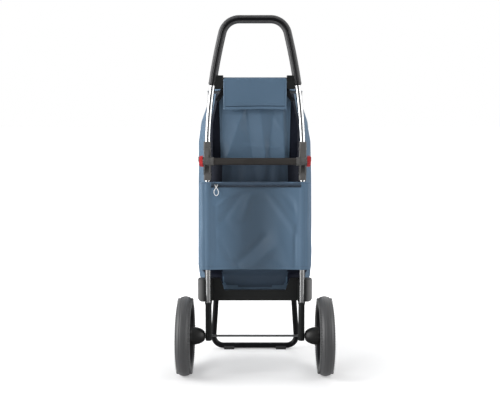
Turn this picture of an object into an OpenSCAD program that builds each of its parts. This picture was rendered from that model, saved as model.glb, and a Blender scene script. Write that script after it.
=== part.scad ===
// Folding two-wheeled shopping trolley with a soft bag.
// The frame's own directions: +Z up, -Y towards the person who pulls it, +X to the right
// as seen from behind. The design is drawn with the axle at Y = 0, and in_frame() moves
// every piece so that the origin is at the bottom centre of the whole trolley.

/* [Frame] */
// Height of the handle's top above the ground
overall_h = 985; // [930:1:1060]
// Distance between the centre lines of the two uprights
frame_w = 259; // [245:1:275]
// Width of the upright tube, seen from behind
tube_w = 15; // [14:0.5:17]
// Depth of the upright tube, front to back
tube_d = 25; // [22:0.5:27]
// Wall of the upright tube
tube_wall = 1.6; // [1.2:0.1:2]
// Width of the groove down the tube's front and back
groove_w = 2.2; // [1:0.1:3]
// Depth of the groove
groove_depth = 0.9; // [0.5:0.1:1]

/* [Folding joint] */
// Height of the folding axis
joint_z = 599; // [560:1:630]
// Distance of the folding axis behind the uprights' centre plane
joint_back = 22; // [21:0.5:26]
// Radius of the hinge's eyes
eye_r = 10.5; // [9:0.5:11]
// Radius of the hinge rod
rod_r = 3; // [2.5:0.1:3.5]
// Wall of the hinge housings round the tube
housing_wall = 1.9; // [1.6:0.1:2.5]
// Length of the lower housing
lower_housing_h = 52; // [45:1:60]
// Length of the upper housing
upper_housing_h = 52; // [45:1:60]
// Height of the crossbar's section
crossbar_h = 19; // [16:0.5:20]

/* [Release buttons] */
// Height of a button
button_h = 28; // [22:1:30]
// Width of a button, front to back
button_w = 18; // [14:1:20]
// How far a button stands out from the housing
button_out = 12; // [10:0.5:14]
// How far a button can be pushed in
button_travel = 3; // [2:0.1:3.5]

/* [Handle] */
// Width of the grip's oval section, across the bow
grip_w = 15.5; // [14.5:0.5:18]
// Depth of the grip's oval section, front to back
grip_d = 22; // [20:0.5:26]
// Half of the straight stretch at the top of the bow
bow_flat = 42; // [35:1:50]
// Angle through which the long sides of the bow lean in
bow_angle = 14; // [12:0.5:16]
// Height of the grip's lower ends above the ground
grip_bottom_z = 802; // [780:1:820]

/* [Top bar] */
// Height of the bar that the bag hangs from above the grip's lower ends
bar_up = 13; // [5:1:20]
// Radius of the bar
top_bar_r = 6; // [4:0.5:7]
// Height of the brackets that hold the bar
bracket_h = 36; // [28:1:40]
// Length of the brackets, from the grip inwards
bracket_l = 17.2; // [14:0.1:22]

/* [Wheels] */
// Diameter of the wheels
wheel_d = 220; // [190:1:240]
// Width of the tyres
tyre_w = 40; // [30:1:46]
// Height of the tyre's section
tyre_h = 24; // [18:1:30]
// Gap between a leg and its tyre
wheel_gap = 37; // [34:1:60]
// Radius of the axle
axle_r = 3; // [2.5:0.1:4]
// Radius of the domed inner hub
dome_r = 25; // [20:1:30]
// Number of spokes
spokes = 6; // [4:1:9]

/* [Legs and cross-member] */
// Width of the black legs that carry the axle
leg_w = 17; // [16:0.5:19]
// Depth of the legs, front to back
leg_d = 27; // [24:0.5:30]
// Height of the upright tubes' lower ends above the axle
tube_up = 97; // [80:1:105]
// Height of the cross-member's side blocks
block_h = 64; // [50:1:70]
// How far the blocks stand out beyond the tubes
block_out = 21; // [10:1:24]
// Height of the rail between the blocks
rail_h = 30; // [20:1:35]
// Thickness of the rail
rail_t = 8.5; // [6:0.5:9]

/* [Foot] */
// Diameter of the foot tube
foot_d = 17; // [14:0.5:18]
// Wall of the foot tube
foot_wall = 1.2; // [1:0.1:2]
// Distance of the foot in front of the axle
foot_reach = 231; // [210:1:260]
// Distance of the foot's arms inside the uprights
foot_inset = 6; // [5:0.5:12]
// Angle at which the foot's legs splay out
foot_splay = 4; // [2:0.5:5]
// Radius of the bend from arm to leg
elbow_r = 35; // [25:1:50]
// Radius of the bends at the foot's corners
corner_r = 30; // [20:1:40]
// Height of the foot's pivot above the tubes' lower ends
pivot_up = 15; // [12:0.5:16]

/* [Bag] */
// Distance of the bag's front from the axle
bag_front = 245; // [225:1:270]
// How far the bag stands out beyond the uprights at its widest
bag_over = 27; // [15:1:29]
// Distance of the bag's mouth below the top bar
mouth_drop = 25; // [22:1:40]
// How far the bag's mouth stands out beyond the back panel
mouth_over = 20; // [10:1:25]
// Thickness of the fabric with its lining
fabric_t = 3; // [2:0.5:4]
// Gap between the back panel and the uprights
panel_gap = 24; // [22:1:35]
// How far the flap hangs down behind
flap_drop = 77; // [50:1:90]

/* [Rear pocket] */
// Distance of the pocket's lower edge above the cross-member
pocket_up = 23; // [14:1:50]
// Distance of the pocket's upper edge below the hinge housings
pocket_down = 4; // [3:1:50]
// How far the pocket stands out beyond the uprights
pocket_over = 15; // [9:1:20]
// Radius of the pocket's corners over the tubes
pocket_corner = 13; // [8:1:14]
// Distance of the zip below the pocket's upper edge
zip_drop = 11; // [8:1:16]
// Width of the zip
zip_w = 8; // [6:1:10]

/* [Lid and buckle] */
// Height of the lid's crown above the mouth
lid_rise = 20; // [12:1:24]
// Depth of the lid's skirt
skirt_h = 35; // [25:1:45]
// Width of the closing strap
strap_w = 25; // [20:1:30]
// Height of the buckle's middle
buckle_z = 655; // [640:1:680]

/* [Hidden] */
$fn = 48;

// Fits and gaps
fit_gap = 0.15;      // between pieces that are pushed together
run_gap = 0.05;      // radial, between a shaft and what turns on it
joint_gap = 0.5;     // between faces that pass each other
fabric_gap = 1;      // between layers of fabric

left = -1;
right = 1;
half_w = frame_w / 2;
tube_in = half_w - tube_w / 2;
tube_out = half_w + tube_w / 2;
tube_front = tube_d / 2;
top_bar_z = grip_bottom_z + bar_up;
housing_w = tube_w + 2 * housing_wall;
housing_d = tube_d + 2 * housing_wall + 2;

// The bow: two long arcs that rise from the folding joint and lean in, two corner arcs
// and a straight top. The two radii follow from where the arcs have to meet.
bow_rise = overall_h - grip_w / 2 - joint_z;
bow_run = half_w - bow_flat;
lean_x = 1 - cos(bow_angle);
lean_z = sin(bow_angle);
turn_x = cos(bow_angle);
turn_z = 1 - sin(bow_angle);
bow_det = lean_x * turn_z - turn_x * lean_z;
side_r = (bow_run * turn_z - turn_x * bow_rise) / bow_det;
top_r = (lean_x * bow_rise - lean_z * bow_run) / bow_det;
grip_start = asin((grip_bottom_z - joint_z) / side_r);
core_start = asin((grip_bottom_z - 60 - joint_z) / side_r);
core_w = tube_w - 2 * tube_wall - 2 * groove_depth - 2 * fit_gap;
core_d = tube_d - 2 * tube_wall - 2 * groove_depth - 2 * fit_gap;
function bow_x(z) = half_w - side_r * (1 - cos(asin((z - joint_z) / side_r)));

// Hinge pieces across the housing: two cheeks outside and one tongue between them
cheek_t = 4;
tongue_t = housing_w - 2 * cheek_t - 2 * 0.35;
slot_t = housing_w - 2 * cheek_t;
web_back = joint_back + eye_r / 2;
web_rise = 0.86 * eye_r;
web_h = 38;
tube_top_z = joint_z - 21;
upper_tube_start = asin(3 / side_r);
lower_housing_z = joint_z - lower_housing_h;
collar_w = 9;
crossbar_d = crossbar_h + 1;
crossbar_half = half_w - housing_w / 2 - collar_w;
rivet_r = 2;
rivet_drop = 33;

// Buttons
button_y = 2;
stem_r = 4;
stem_drop = 12;
boss_t = button_travel + 1.2;
stem_in = 8;
stem_reach = 11;

// Wheels and legs
wheel_r = wheel_d / 2;
tube_foot_z = wheel_r + tube_up;
rim_r = wheel_r - tyre_h;
rim_t = 7;
hub_r = 18;
hub_in = 17;
hub_out = 13;
bush_r = 6;
leg_end = 11;
leg_outer = half_w + leg_w / 2;
track = 2 * (leg_outer + wheel_gap) + tyre_w;
washer_t = 1.2;
dome_tip = leg_outer + washer_t + 0.4;
dome_base = track / 2 - hub_in;
axle_end = track / 2 + hub_out + 2;

// Cross-member and foot
foot_half = tube_in - foot_inset;
rail_y = tube_front + 1;
block_back = -8;
block_front = rail_y + rail_t;
pivot_y = block_front + foot_d / 2 + 3.5;
pivot_z = tube_foot_z + pivot_up;
lug_t = 3;
pin_r = 3;
knuckle_w = foot_d - 2;
bar_z = foot_d / 2 + 2;
leg_run = (pivot_z - corner_r * sin(foot_splay) - bar_z - corner_r) / cos(foot_splay);
corner_x = foot_half + leg_run * sin(foot_splay) - corner_r * cos(foot_splay);
shelf_t = 3;
shelf_z = pivot_z + foot_d / 2 + 0.3;
pad_l = 32;
pad_x = corner_x - pad_l / 2 - 2;

// Bag
bag_half = tube_out + bag_over;
bag_mouth_z = top_bar_z - mouth_drop;
panel_half = tube_in - panel_gap;
mouth_half = panel_half + mouth_over;
pocket_half = tube_out + pocket_over;
pocket_z = tube_foot_z + block_h + pocket_up;
pocket_h = lower_housing_z - pocket_down - pocket_z;
bag_bottom_z = shelf_z + shelf_t + 0.5;
bag_back = tube_front + 3.5;
bag_low_back = block_front + 2.5;
ring_points = 44;
buckle_t = 10;
front_most = bag_front + 1 + buckle_t;
centre_y = (front_most - wheel_r) / 2;
panel_t = 2.5;
panel_y = tube_front - 2;
strap_t = 1.5;
housing_in = half_w - housing_w / 2;
housing_out = half_w + housing_w / 2;

// The closed outline of the bag at height z, grown by g
function bag_w(z) = lookup(z, [
    [bag_bottom_z, bag_half - 22], [bag_bottom_z + 18, bag_half - 4],
    [bag_bottom_z + 60, bag_half], [joint_z - 50, bag_half - 3], [joint_z + 50, bag_half - 6],
    [bag_mouth_z - 85, bag_half - 16], [bag_mouth_z - 40, mouth_half + 14],
    [bag_mouth_z, mouth_half], [bag_mouth_z + 100, mouth_half]]);
function bag_rear_w(z) = lookup(z, [
    [pocket_z, pocket_half - 20], [pocket_z + pocket_h - 60, pocket_half - 20],
    [joint_z, panel_half + 2], [bag_mouth_z, panel_half + 2]]);
function bag_rear_y(z) = lookup(z, [
    [tube_foot_z + block_h + 4, bag_low_back], [tube_foot_z + block_h + 30, bag_back],
    [bag_mouth_z, bag_back]]);
function bag_depth_in(z) = lookup(z, [[bag_bottom_z, 14], [bag_bottom_z + 18, 2],
    [bag_bottom_z + 60, 0]]);
function squared(c) = sign(c) * pow(abs(c), 0.45);
function ring(z, half, rear_half, y0, y1) = [
    for (k = [0 : ring_points - 1])
        let (a = 360 * k / ring_points,
             mid = (y0 + y1) / 2,
             y = mid + (y1 - y0) / 2 * squared(sin(a)),
             f = min(1, (y - y0) / 70),
             share = rear_half / half + (1 - rear_half / half) * f * (2 - f))
        [half * squared(cos(a)) * min(1, share), y, z]];
function bag_ring(z, g) = ring(z, bag_w(z) + g, min(bag_rear_w(z), bag_w(z)) + g,
    bag_rear_y(z) + bag_depth_in(z) - g, bag_front - bag_depth_in(z) + g);
function scaled_ring(z, g, s) =
    let (base = bag_ring(bag_mouth_z, g), mid = (bag_back + bag_front) / 2)
    [for (p = base) [p[0] * s, mid + (p[1] - mid) * s, z]];

// A solid whose skin runs through a list of rings, capped at both ends or joined end to end
module loft(rings, closed) {
    n = len(rings[0]);
    m = len(rings);
    sides = [for (j = [0 : m - (closed ? 1 : 2)]) for (k = [0 : n - 1])
        let (a = j * n, b = ((j + 1) % m) * n, k2 = (k + 1) % n)
        each [[a + k, b + k, b + k2], [a + k, b + k2, a + k2]]];
    caps = closed ? [] : [[for (k = [0 : n - 1]) k], [for (k = [n - 1 : -1 : 0]) (m - 1) * n + k]];
    polyhedron(points = [for (r = rings) for (p = r) p], faces = concat(sides, caps));
}

module in_frame() translate([0, -centre_y, 0]) children();

module on_side(side) {
    if (side < 0) mirror([1, 0, 0]) children();
    else children();
}

module oval(w, d) {
    square([w, d - w], center = true);
    for (s = [-1, 1]) translate([0, s * (d - w) / 2]) circle(d = w);
}

module tube_section() {
    difference() {
        oval(tube_w, tube_d);
        oval(tube_w - 2 * (tube_wall + groove_depth), tube_d - 2 * (tube_wall + groove_depth));
        for (s = [-1, 1]) translate([0, s * tube_front]) square([groove_w, 2 * groove_depth], center = true);
    }
}

// An arc of the bow's long side, between two angles, on the right-hand side
module side_arc(from, to) {
    translate([half_w - side_r, 0, joint_z]) rotate([90, 0, 0])
        rotate([0, 0, from]) rotate_extrude(angle = to - from, $fn = 96)
            translate([side_r, 0]) children();
}

// A shape drawn as (y, z) and given a thickness across the trolley, from x0 to x1
module across(x0, x1) {
    translate([x0, 0, 0]) rotate([90, 0, 90]) linear_extrude(x1 - x0) children();
}

module rod_x(r, x0, x1, y, z) {
    translate([x0, y, z]) rotate([0, 90, 0]) cylinder(r = r, h = x1 - x0);
}

module upright_housing(z0, h) {
    translate([half_w, 0, z0]) linear_extrude(h) rounded(housing_w, housing_d, 3.5);
}

module rounded(w, d, r) {
    square([w, d - 2 * r], center = true);
    square([w - 2 * r, d], center = true);
    for (x = [-1, 1], y = [-1, 1]) translate([x * (w / 2 - r), y * (d / 2 - r)]) circle(r = r);
}

// ---- Uprights and legs ----

module lower_tube(side) {
    in_frame() on_side(side) color("silver") difference() {
        translate([half_w, 0, tube_foot_z]) linear_extrude(tube_top_z - tube_foot_z) tube_section();
        rod_x(rivet_r + run_gap, half_w - tube_w, half_w + tube_w, 0, joint_z - rivet_drop);
    }
}
module lower_tube_left() { lower_tube(left); }
module lower_tube_right() { lower_tube(right); }

module leg(side) {
    spigot = 60;
    collar_h = 5;
    in_frame() on_side(side) color("#1c1c1d") difference() {
        union() {
            translate([half_w, 0, wheel_r - leg_end])
                linear_extrude(tube_foot_z - wheel_r + leg_end) oval(leg_w, leg_d);
            translate([half_w, 0, tube_foot_z - collar_h])
                linear_extrude(collar_h) oval(leg_w + 2.4, leg_d + 2.4);
            translate([half_w, 0, tube_foot_z]) linear_extrude(spigot) oval(core_w, core_d);
        }
        rod_x(axle_r + run_gap, half_w - leg_w, half_w + leg_w, 0, wheel_r);
    }
}
module leg_left() { leg(left); }
module leg_right() { leg(right); }

module axle() {
    in_frame() color("#8d9092") rod_x(axle_r, -axle_end, axle_end, 0, wheel_r);
}

module axle_washers() {
    in_frame() color("silver") for (s = [left, right]) on_side(s) difference() {
        rod_x(7, leg_outer + 0.1, leg_outer + 0.1 + washer_t, 0, wheel_r);
        rod_x(axle_r + run_gap, leg_outer - 1, leg_outer + washer_t + 1, 0, wheel_r);
    }
}

module axle_clips() {
    clip_x = track / 2 + hub_out + 0.4;
    in_frame() color("silver") for (s = [left, right]) on_side(s) difference() {
        rod_x(6.5, clip_x, clip_x + 1, 0, wheel_r);
        rod_x(axle_r, clip_x - 1, clip_x + 2, 0, wheel_r);
    }
}

// ---- Cross-member ----

module crossmember_front() {
    notch_top = panel_half;
    notch_low = panel_half - 12;
    top_z = tube_foot_z + block_h;
    rail_z = tube_foot_z + rail_h;
    polygon([[-tube_in, tube_foot_z], [tube_in, tube_foot_z], [tube_in, top_z], [notch_top, top_z],
        [notch_low, rail_z], [-notch_low, rail_z], [-notch_top, top_z], [-tube_in, top_z]]);
}

module side_block() {
    r = 12;
    x0 = tube_in - 3;
    x1 = tube_out + block_out;
    z0 = tube_foot_z + 2;
    z1 = tube_foot_z + block_h;
    translate([x0, z0 + r]) square([x1 - x0, z1 - z0 - r]);
    translate([x0, z0]) square([x1 - x0 - r, r]);
    translate([x1 - r, z0 + r]) circle(r = r);
}

module pivot_lug() {
    translate([block_front - 1, pivot_z - foot_d / 2 + 0.5]) square([pivot_y - block_front + 1, foot_d - 1]);
    translate([pivot_y, pivot_z]) circle(r = foot_d / 2 - 0.5);
}

module base_crossmember() {
    in_frame() color("#1e1f20") difference() {
        union() {
            translate([0, block_front, 0]) rotate([90, 0, 0]) linear_extrude(rail_t) crossmember_front();
            for (s = [left, right]) on_side(s) {
                translate([0, block_front, 0]) rotate([90, 0, 0])
                    linear_extrude(block_front - block_back) side_block();
                for (x = [foot_half - knuckle_w / 2 - joint_gap - lug_t,
                          foot_half + knuckle_w / 2 + joint_gap])
                    across(x, x + lug_t) pivot_lug();
            }
        }
        for (s = [left, right]) on_side(s) {
            translate([half_w, 0, tube_foot_z - 10]) linear_extrude(block_h + 20) {
                oval(tube_w + 2 * fit_gap, tube_d + 2 * fit_gap);
                translate([0, -tube_d / 2]) square([tube_w + 2 * fit_gap, tube_d], center = true);
            }
            rod_x(pin_r + fit_gap, foot_half - knuckle_w, foot_half + knuckle_w, pivot_y, pivot_z);
        }
    }
}

module foot_pivot_pins() {
    reach = knuckle_w / 2 + joint_gap + lug_t + 0.2;
    in_frame() color("silver") for (s = [left, right]) on_side(s) {
        rod_x(pin_r, foot_half - reach, foot_half + reach, pivot_y, pivot_z);
        rod_x(pin_r + 2, foot_half - reach - 1.2, foot_half - reach, pivot_y, pivot_z);
        rod_x(pin_r + 2, foot_half + reach, foot_half + reach + 1.2, pivot_y, pivot_z);
    }
}

// ---- Folding joint ----

module lower_cheek() {
    translate([-joint_back, joint_z]) circle(r = eye_r);
    polygon([[-web_back, joint_z - web_rise], [-housing_d / 2 + 1, joint_z - web_h],
        [-housing_d / 2 + 4, joint_z - web_h], [-housing_d / 2 + 4, joint_z - joint_gap],
        [-joint_back, joint_z - joint_gap]]);
}

module upper_tongue() {
    translate([-joint_back, joint_z]) circle(r = eye_r);
    polygon([[-web_back, joint_z + web_rise], [-housing_d / 2 + 1, joint_z + web_h],
        [-housing_d / 2 + 4, joint_z + web_h], [-housing_d / 2 + 4, joint_z + joint_gap],
        [-joint_back, joint_z + joint_gap]]);
}

module button_face(grow) {
    translate([button_y, joint_z]) oval(button_w + 2 * grow, button_h + 2 * grow);
}

module lower_hinge(side) {
    in_frame() on_side(side) color("#383634") difference() {
        union() {
            upright_housing(lower_housing_z, lower_housing_h - joint_gap);
            across(housing_in, housing_in + cheek_t) lower_cheek();
            across(housing_out - cheek_t, housing_out) lower_cheek();
            rod_x(crossbar_d / 2 + 1.5, housing_in - collar_w + fit_gap, housing_in + 0.5,
                -joint_back, joint_z);
            across(housing_out + joint_gap / 2, housing_out + boss_t) button_face(-3);
            across(housing_out - 1, housing_out + joint_gap / 2 + 0.1)
                translate([button_y, joint_z - stem_drop]) circle(r = stem_r + 3);
        }
        translate([half_w, 0, lower_housing_z - 1]) linear_extrude(tube_top_z - lower_housing_z + 1)
            oval(tube_w + 2 * fit_gap, tube_d + 2 * fit_gap);
        rod_x(eye_r + 1, half_w - slot_t / 2, half_w + slot_t / 2, -joint_back, joint_z);
        rod_x(rod_r + 0.02, housing_in - collar_w - 1, housing_out + 1, -joint_back, joint_z);
        rod_x(rivet_r + run_gap, housing_in - 1, housing_out + 1, 0, joint_z - rivet_drop);
        rod_x(stem_r + 0.1, housing_out - stem_reach - 4, housing_out + boss_t + 1,
            button_y, joint_z - stem_drop);
    }
}
module lower_hinge_left() { lower_hinge(left); }
module lower_hinge_right() { lower_hinge(right); }

module upper_hinge(side) {
    in_frame() on_side(side) color("#3a3836") difference() {
        union() {
            upright_housing(joint_z + joint_gap, upper_housing_h);
            across(half_w - tongue_t / 2, half_w + tongue_t / 2) upper_tongue();
        }
        side_arc(upper_tube_start, 8) oval(tube_w + 2 * fit_gap, tube_d + 2 * fit_gap);
        for (x = [housing_in - 1, half_w + slot_t / 2 - 0.35])
            rod_x(eye_r + 1, x, x + cheek_t + 1.35, -joint_back, joint_z);
        rod_x(rod_r + run_gap, housing_in - 1, housing_out + 1, -joint_back, joint_z);
        rod_x(rivet_r + run_gap, housing_in - 1, housing_out + 1, 0, joint_z + rivet_drop);
    }
}
module upper_hinge_left() { upper_hinge(left); }
module upper_hinge_right() { upper_hinge(right); }

module crossbar() {
    in_frame() color("#2b2725") difference() {
        across(-crossbar_half, crossbar_half)
            translate([-joint_back, joint_z]) rounded(crossbar_d, crossbar_h, 6);
        rod_x(rod_r + fit_gap, -crossbar_half - 1, crossbar_half + 1, -joint_back, joint_z);
    }
}

module hinge_rod() {
    in_frame() color("silver") {
        rod_x(rod_r, -housing_out - 0.5, housing_out + 0.5, -joint_back, joint_z);
        for (s = [left, right]) on_side(s)
            rod_x(rod_r + 2, housing_out + 0.1, housing_out + 1.6, -joint_back, joint_z);
    }
}

// A rivet right through a housing and its tube, with a head on each side
module housing_rivet(z) {
    rod_x(rivet_r, housing_in - 0.5, housing_out + 0.5, 0, z);
    rod_x(rivet_r + 1.2, housing_in - 1.4, housing_in - 0.05, 0, z);
    rod_x(rivet_r + 1.2, housing_out + 0.05, housing_out + 1.4, 0, z);
}

module lower_rivets() {
    in_frame() color("silver") for (s = [left, right]) on_side(s) housing_rivet(joint_z - rivet_drop);
}

module upper_rivets() {
    in_frame() color("silver") for (s = [left, right]) on_side(s) housing_rivet(joint_z + rivet_drop);
}

module button_springs() {
    in_frame() color("silver") for (s = [left, right]) on_side(s) difference() {
        rod_x(stem_r - 0.4, housing_out - stem_reach - 3.9, housing_out - stem_in - button_travel - 0.2,
            button_y, joint_z - stem_drop);
        rod_x(stem_r - 1.3, housing_out - stem_reach - 5, housing_out, button_y, joint_z - stem_drop);
    }
}

// A red button: a cap over the boss and a stem that runs in the lower housing
module release_button(side) {
    in_frame() on_side(side) color("#c92f33") {
        difference() {
            across(housing_out + button_travel + 0.4, housing_out + button_out) button_face(0);
            across(housing_out, housing_out + boss_t + button_travel + 0.4) button_face(-2.4);
        }
        across(housing_out + button_out - 0.2, housing_out + button_out + 1.2) button_face(-3);
        rod_x(stem_r, housing_out - stem_in, housing_out + button_out - 1, button_y, joint_z - stem_drop);
    }
}
module release_button_left() { release_button(left); }
module release_button_right() { release_button(right); }

// ---- Upper frame and handle ----

module upper_tube(side) {
    in_frame() on_side(side) color("silver") difference() {
        side_arc(upper_tube_start, grip_start) tube_section();
        rod_x(rivet_r + run_gap, half_w - tube_w, half_w + tube_w, 0, joint_z + rivet_drop);
    }
}
module upper_tube_left() { upper_tube(left); }
module upper_tube_right() { upper_tube(right); }

// The right half of the bow's centre line from the angle start, as [point, outwards]
bow_steps = 7;
bow_sides = 20;
top_centre_z = overall_h - grip_w / 2;
function arc_frames(x, z, r, from, to) = [for (k = [0 : bow_steps])
    let (a = from + (to - from) * k / bow_steps, out = [cos(a), 0, sin(a)]) [[x, 0, z] + r * out, out]];
function bow_frames(start) = concat(
    arc_frames(half_w - side_r, joint_z, side_r, start, bow_angle),
    [for (k = [1 : bow_steps]) arc_frames(bow_flat, top_centre_z - top_r, top_r, bow_angle, 90)[k]]);
function oval_ring(f, w, d) = [for (j = [0 : bow_sides - 1]) let (a = 360 * j / bow_sides)
    f[0] + w / 2 * cos(a) * f[1] - (sign(sin(a)) * (d - w) / 2 + w / 2 * sin(a)) * [0, 1, 0]];
function bow_rings(start, w, d) =
    let (half = [for (f = bow_frames(start)) oval_ring(f, w, d)]) concat(half, mirrored(reversed(half)));

module handle_core() {
    in_frame() color("#303133") loft(bow_rings(core_start, core_w, core_d), false);
}

module handle_grip() {
    start = grip_start + 0.02;
    in_frame() color("#3b3c3e") loft(concat(bow_rings(start, grip_w, grip_d),
        reversed(bow_rings(start, core_w + 2 * fit_gap, core_d + 2 * fit_gap))), true);
}

// ---- Top bar and brackets ----

bracket_top = top_bar_z + bracket_h / 2 - 4;
bracket_low = bracket_top - bracket_h;
bracket_gap = 0.6;
bracket_d = 18;
bracket_side = max(grip_w, tube_w) / 2;
bracket_in = bow_x(bracket_top) - bracket_side - bracket_l;
flap_w = 2 * (bracket_in - 0.75);

module top_bracket(side) {
    out_top = bow_x(bracket_top) - bracket_side - bracket_gap;
    out_low = bow_x(bracket_low) - bracket_side - bracket_gap;
    in_frame() on_side(side) color("#242424") difference() {
        translate([0, bracket_d / 2, 0]) rotate([90, 0, 0]) linear_extrude(bracket_d) polygon([
            [bracket_in, bracket_low + 5], [bracket_in + 4, bracket_low], [out_low, bracket_low],
            [out_top, bracket_top], [bracket_in, bracket_top]]);
        rod_x(top_bar_r + fit_gap, bracket_in - 1, bracket_in + 11, 0, top_bar_z);
    }
}
module top_bracket_left() { top_bracket(left); }
module top_bracket_right() { top_bracket(right); }

module top_bar() {
    in_frame() color("#242424") rod_x(top_bar_r, -bracket_in - 10, bracket_in + 10, 0, top_bar_z);
}

// ---- Fabric on the upper frame ----

module flap_outline() {
    inner = top_bar_r + 0.6;
    outer = inner + panel_t;
    difference() {
        translate([0, top_bar_z]) circle(r = outer);
        translate([0, top_bar_z]) circle(r = inner);
        translate([-20, top_bar_z - 40]) square([40, 40]);
    }
    translate([-outer, top_bar_z - flap_drop]) square([panel_t, flap_drop]);
    translate([inner, top_bar_z - 45]) square([panel_t, 45]);
}

module hanging_flap() {
    in_frame() color("#5b7896") across(-flap_w / 2, flap_w / 2) flap_outline();
}

module back_panel() {
    top_z = top_bar_z - 22;
    low_z = joint_z + 7;
    in_frame() color("#5d7a98") translate([0, panel_y + panel_t, 0]) rotate([90, 0, 0])
        linear_extrude(panel_t) polygon([[-panel_half, top_z - 14], [-panel_half + 16, top_z],
            [panel_half - 16, top_z], [panel_half, top_z - 14],
            [panel_half - 4, low_z], [-panel_half + 4, low_z]]);
}

module corner_straps() {
    z0 = bracket_low;
    in_frame() color("#15171c") for (s = [left, right]) on_side(s)
        translate([bracket_in, 0, z0 - 16])
            across(0, 12) polygon([[7, 15.5], [9, 15.5], [panel_y - 0.3, 4], [panel_y - 0.3, -6],
                [panel_y - 2.3, -6], [panel_y - 2.3, 3]]);
}

// ---- Foot ----

// The right half of the foot's centre line, from the knuckle along the arm, down the leg
// and round the corner, each as [point, across, up] with the two directions of its section
foot_bends = 6;
foot_sides = 16;
leg_dir = [sin(foot_splay), 0, -cos(foot_splay)];
leg_side = [cos(foot_splay), 0, sin(foot_splay)];
arm_start = [foot_half, pivot_y + foot_d / 2 + 0.6, pivot_z];
elbow_at = [foot_half, foot_reach - elbow_r, pivot_z] + elbow_r * leg_dir;
corner_at = [corner_x, foot_reach, bar_z + corner_r];
foot_frames = concat(
    [[arm_start, leg_side, leg_dir]],
    [for (k = [0 : foot_bends])
        let (a = 90 * k / foot_bends, out = sin(a) * [0, 1, 0] - cos(a) * leg_dir)
        [elbow_at + elbow_r * out, leg_side, -out]],
    [for (k = [0 : foot_bends])
        let (a = foot_splay - (90 + foot_splay) * k / foot_bends, out = [cos(a), 0, sin(a)])
        [corner_at + corner_r * out, out, [0, -1, 0]]]);
function foot_half_rings(r) = [for (f = foot_frames) [for (j = [0 : foot_sides - 1])
    let (a = 360 * j / foot_sides) f[0] + r * cos(a) * f[1] + r * sin(a) * f[2]]];
function reversed(list) = [for (k = [len(list) - 1 : -1 : 0]) list[k]];
function mirrored(rings) = [for (ring = rings) [for (p = ring) [-p[0], p[1], p[2]]]];
function foot_rings(r) =
    let (half = foot_half_rings(r)) concat(half, mirrored(reversed(half)));

// The plugged end of an arm, which turns on the pivot pin
module knuckle() {
    plug = sqrt(2) * (foot_d / 2 - foot_wall) + 0.15;
    difference() {
        union() {
            rod_x(foot_d / 2 + 0.4, foot_half - knuckle_w / 2, foot_half + knuckle_w / 2, pivot_y, pivot_z);
            translate([foot_half - plug / 2, pivot_y, pivot_z - plug / 2]) cube([plug, 26, plug]);
        }
        rod_x(pin_r + run_gap, foot_half - knuckle_w, foot_half + knuckle_w, pivot_y, pivot_z);
    }
}

module foot_tube() {
    in_frame() color("#151516") {
        loft(concat(foot_rings(foot_d / 2), reversed(foot_rings(foot_d / 2 - foot_wall))), true);
        for (s = [left, right]) on_side(s) knuckle();
    }
}

module foot_pads() {
    pad_w = foot_d + 5;
    in_frame() color("#1b1b1b") for (s = [left, right]) on_side(s) difference() {
        translate([pad_x - pad_l / 2, foot_reach, 0])
            rotate([90, 0, 90]) linear_extrude(pad_l)
                translate([0, bar_z / 2]) square([pad_w, bar_z], center = true);
        rod_x(foot_d / 2 + 0.05, 0, corner_x, foot_reach, bar_z);
    }
}

module base_shelf() {
    y0 = pivot_y + 24;
    y1 = foot_reach - elbow_r + 6;
    half = foot_half + foot_d / 2;
    in_frame() color("#222324") difference() {
        translate([0, (y0 + y1) / 2, shelf_z]) linear_extrude(shelf_t) rounded(2 * half, y1 - y0, 12);
        for (x = [-2 : 2]) translate([x * 42, (y0 + y1) / 2, shelf_z - 1])
            linear_extrude(shelf_t + 2) oval(16, y1 - y0 - 46);
    }
}

// ---- Wheels ----

// Stands a shape drawn round Z on a wheel's axis, with its +Z pointing outwards
module on_wheel(side) {
    in_frame() on_side(side) translate([track / 2, 0, wheel_r]) rotate([0, 90, 0]) children();
}

module tyre_outline() {
    r = 9;
    translate([rim_r, -tyre_w / 2 + r]) square([tyre_h, tyre_w - 2 * r]);
    translate([rim_r, -tyre_w / 2]) square([tyre_h - r, tyre_w]);
    for (s = [-1, 1]) translate([wheel_r - r, s * (tyre_w / 2 - r)]) circle(r = r);
}

module tyre(side) {
    on_wheel(side) color("#2c2d2f") rotate_extrude($fn = 96) tyre_outline();
}
module tyre_left() { tyre(left); }
module tyre_right() { tyre(right); }

module rim(side) {
    on_wheel(side) color("#18191a") difference() {
        union() {
            rotate_extrude($fn = 96) translate([rim_r - rim_t, -tyre_w / 2 + 4]) square([rim_t, tyre_w - 8]);
            translate([0, 0, -hub_in]) cylinder(r = hub_r, h = hub_in + hub_out);
            for (k = [0 : spokes - 1]) rotate([0, 0, 360 * k / spokes]) translate([0, 0, -4])
                linear_extrude(10) polygon([[hub_r - 4, -7], [rim_r - rim_t + 2, -6],
                    [rim_r - rim_t + 2, 6], [hub_r - 4, 7]]);
        }
        translate([0, 0, -hub_in - 1]) cylinder(r = bush_r, h = hub_in + hub_out + 2);
    }
}
module rim_left() { rim(left); }
module rim_right() { rim(right); }

module bush(side) {
    on_wheel(side) color("#c9c5b8") difference() {
        translate([0, 0, -hub_in]) cylinder(r = bush_r, h = hub_in + hub_out);
        translate([0, 0, -hub_in - 1]) cylinder(r = axle_r + run_gap, h = hub_in + hub_out + 2);
    }
}
module bush_left() { bush(left); }
module bush_right() { bush(right); }

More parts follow.
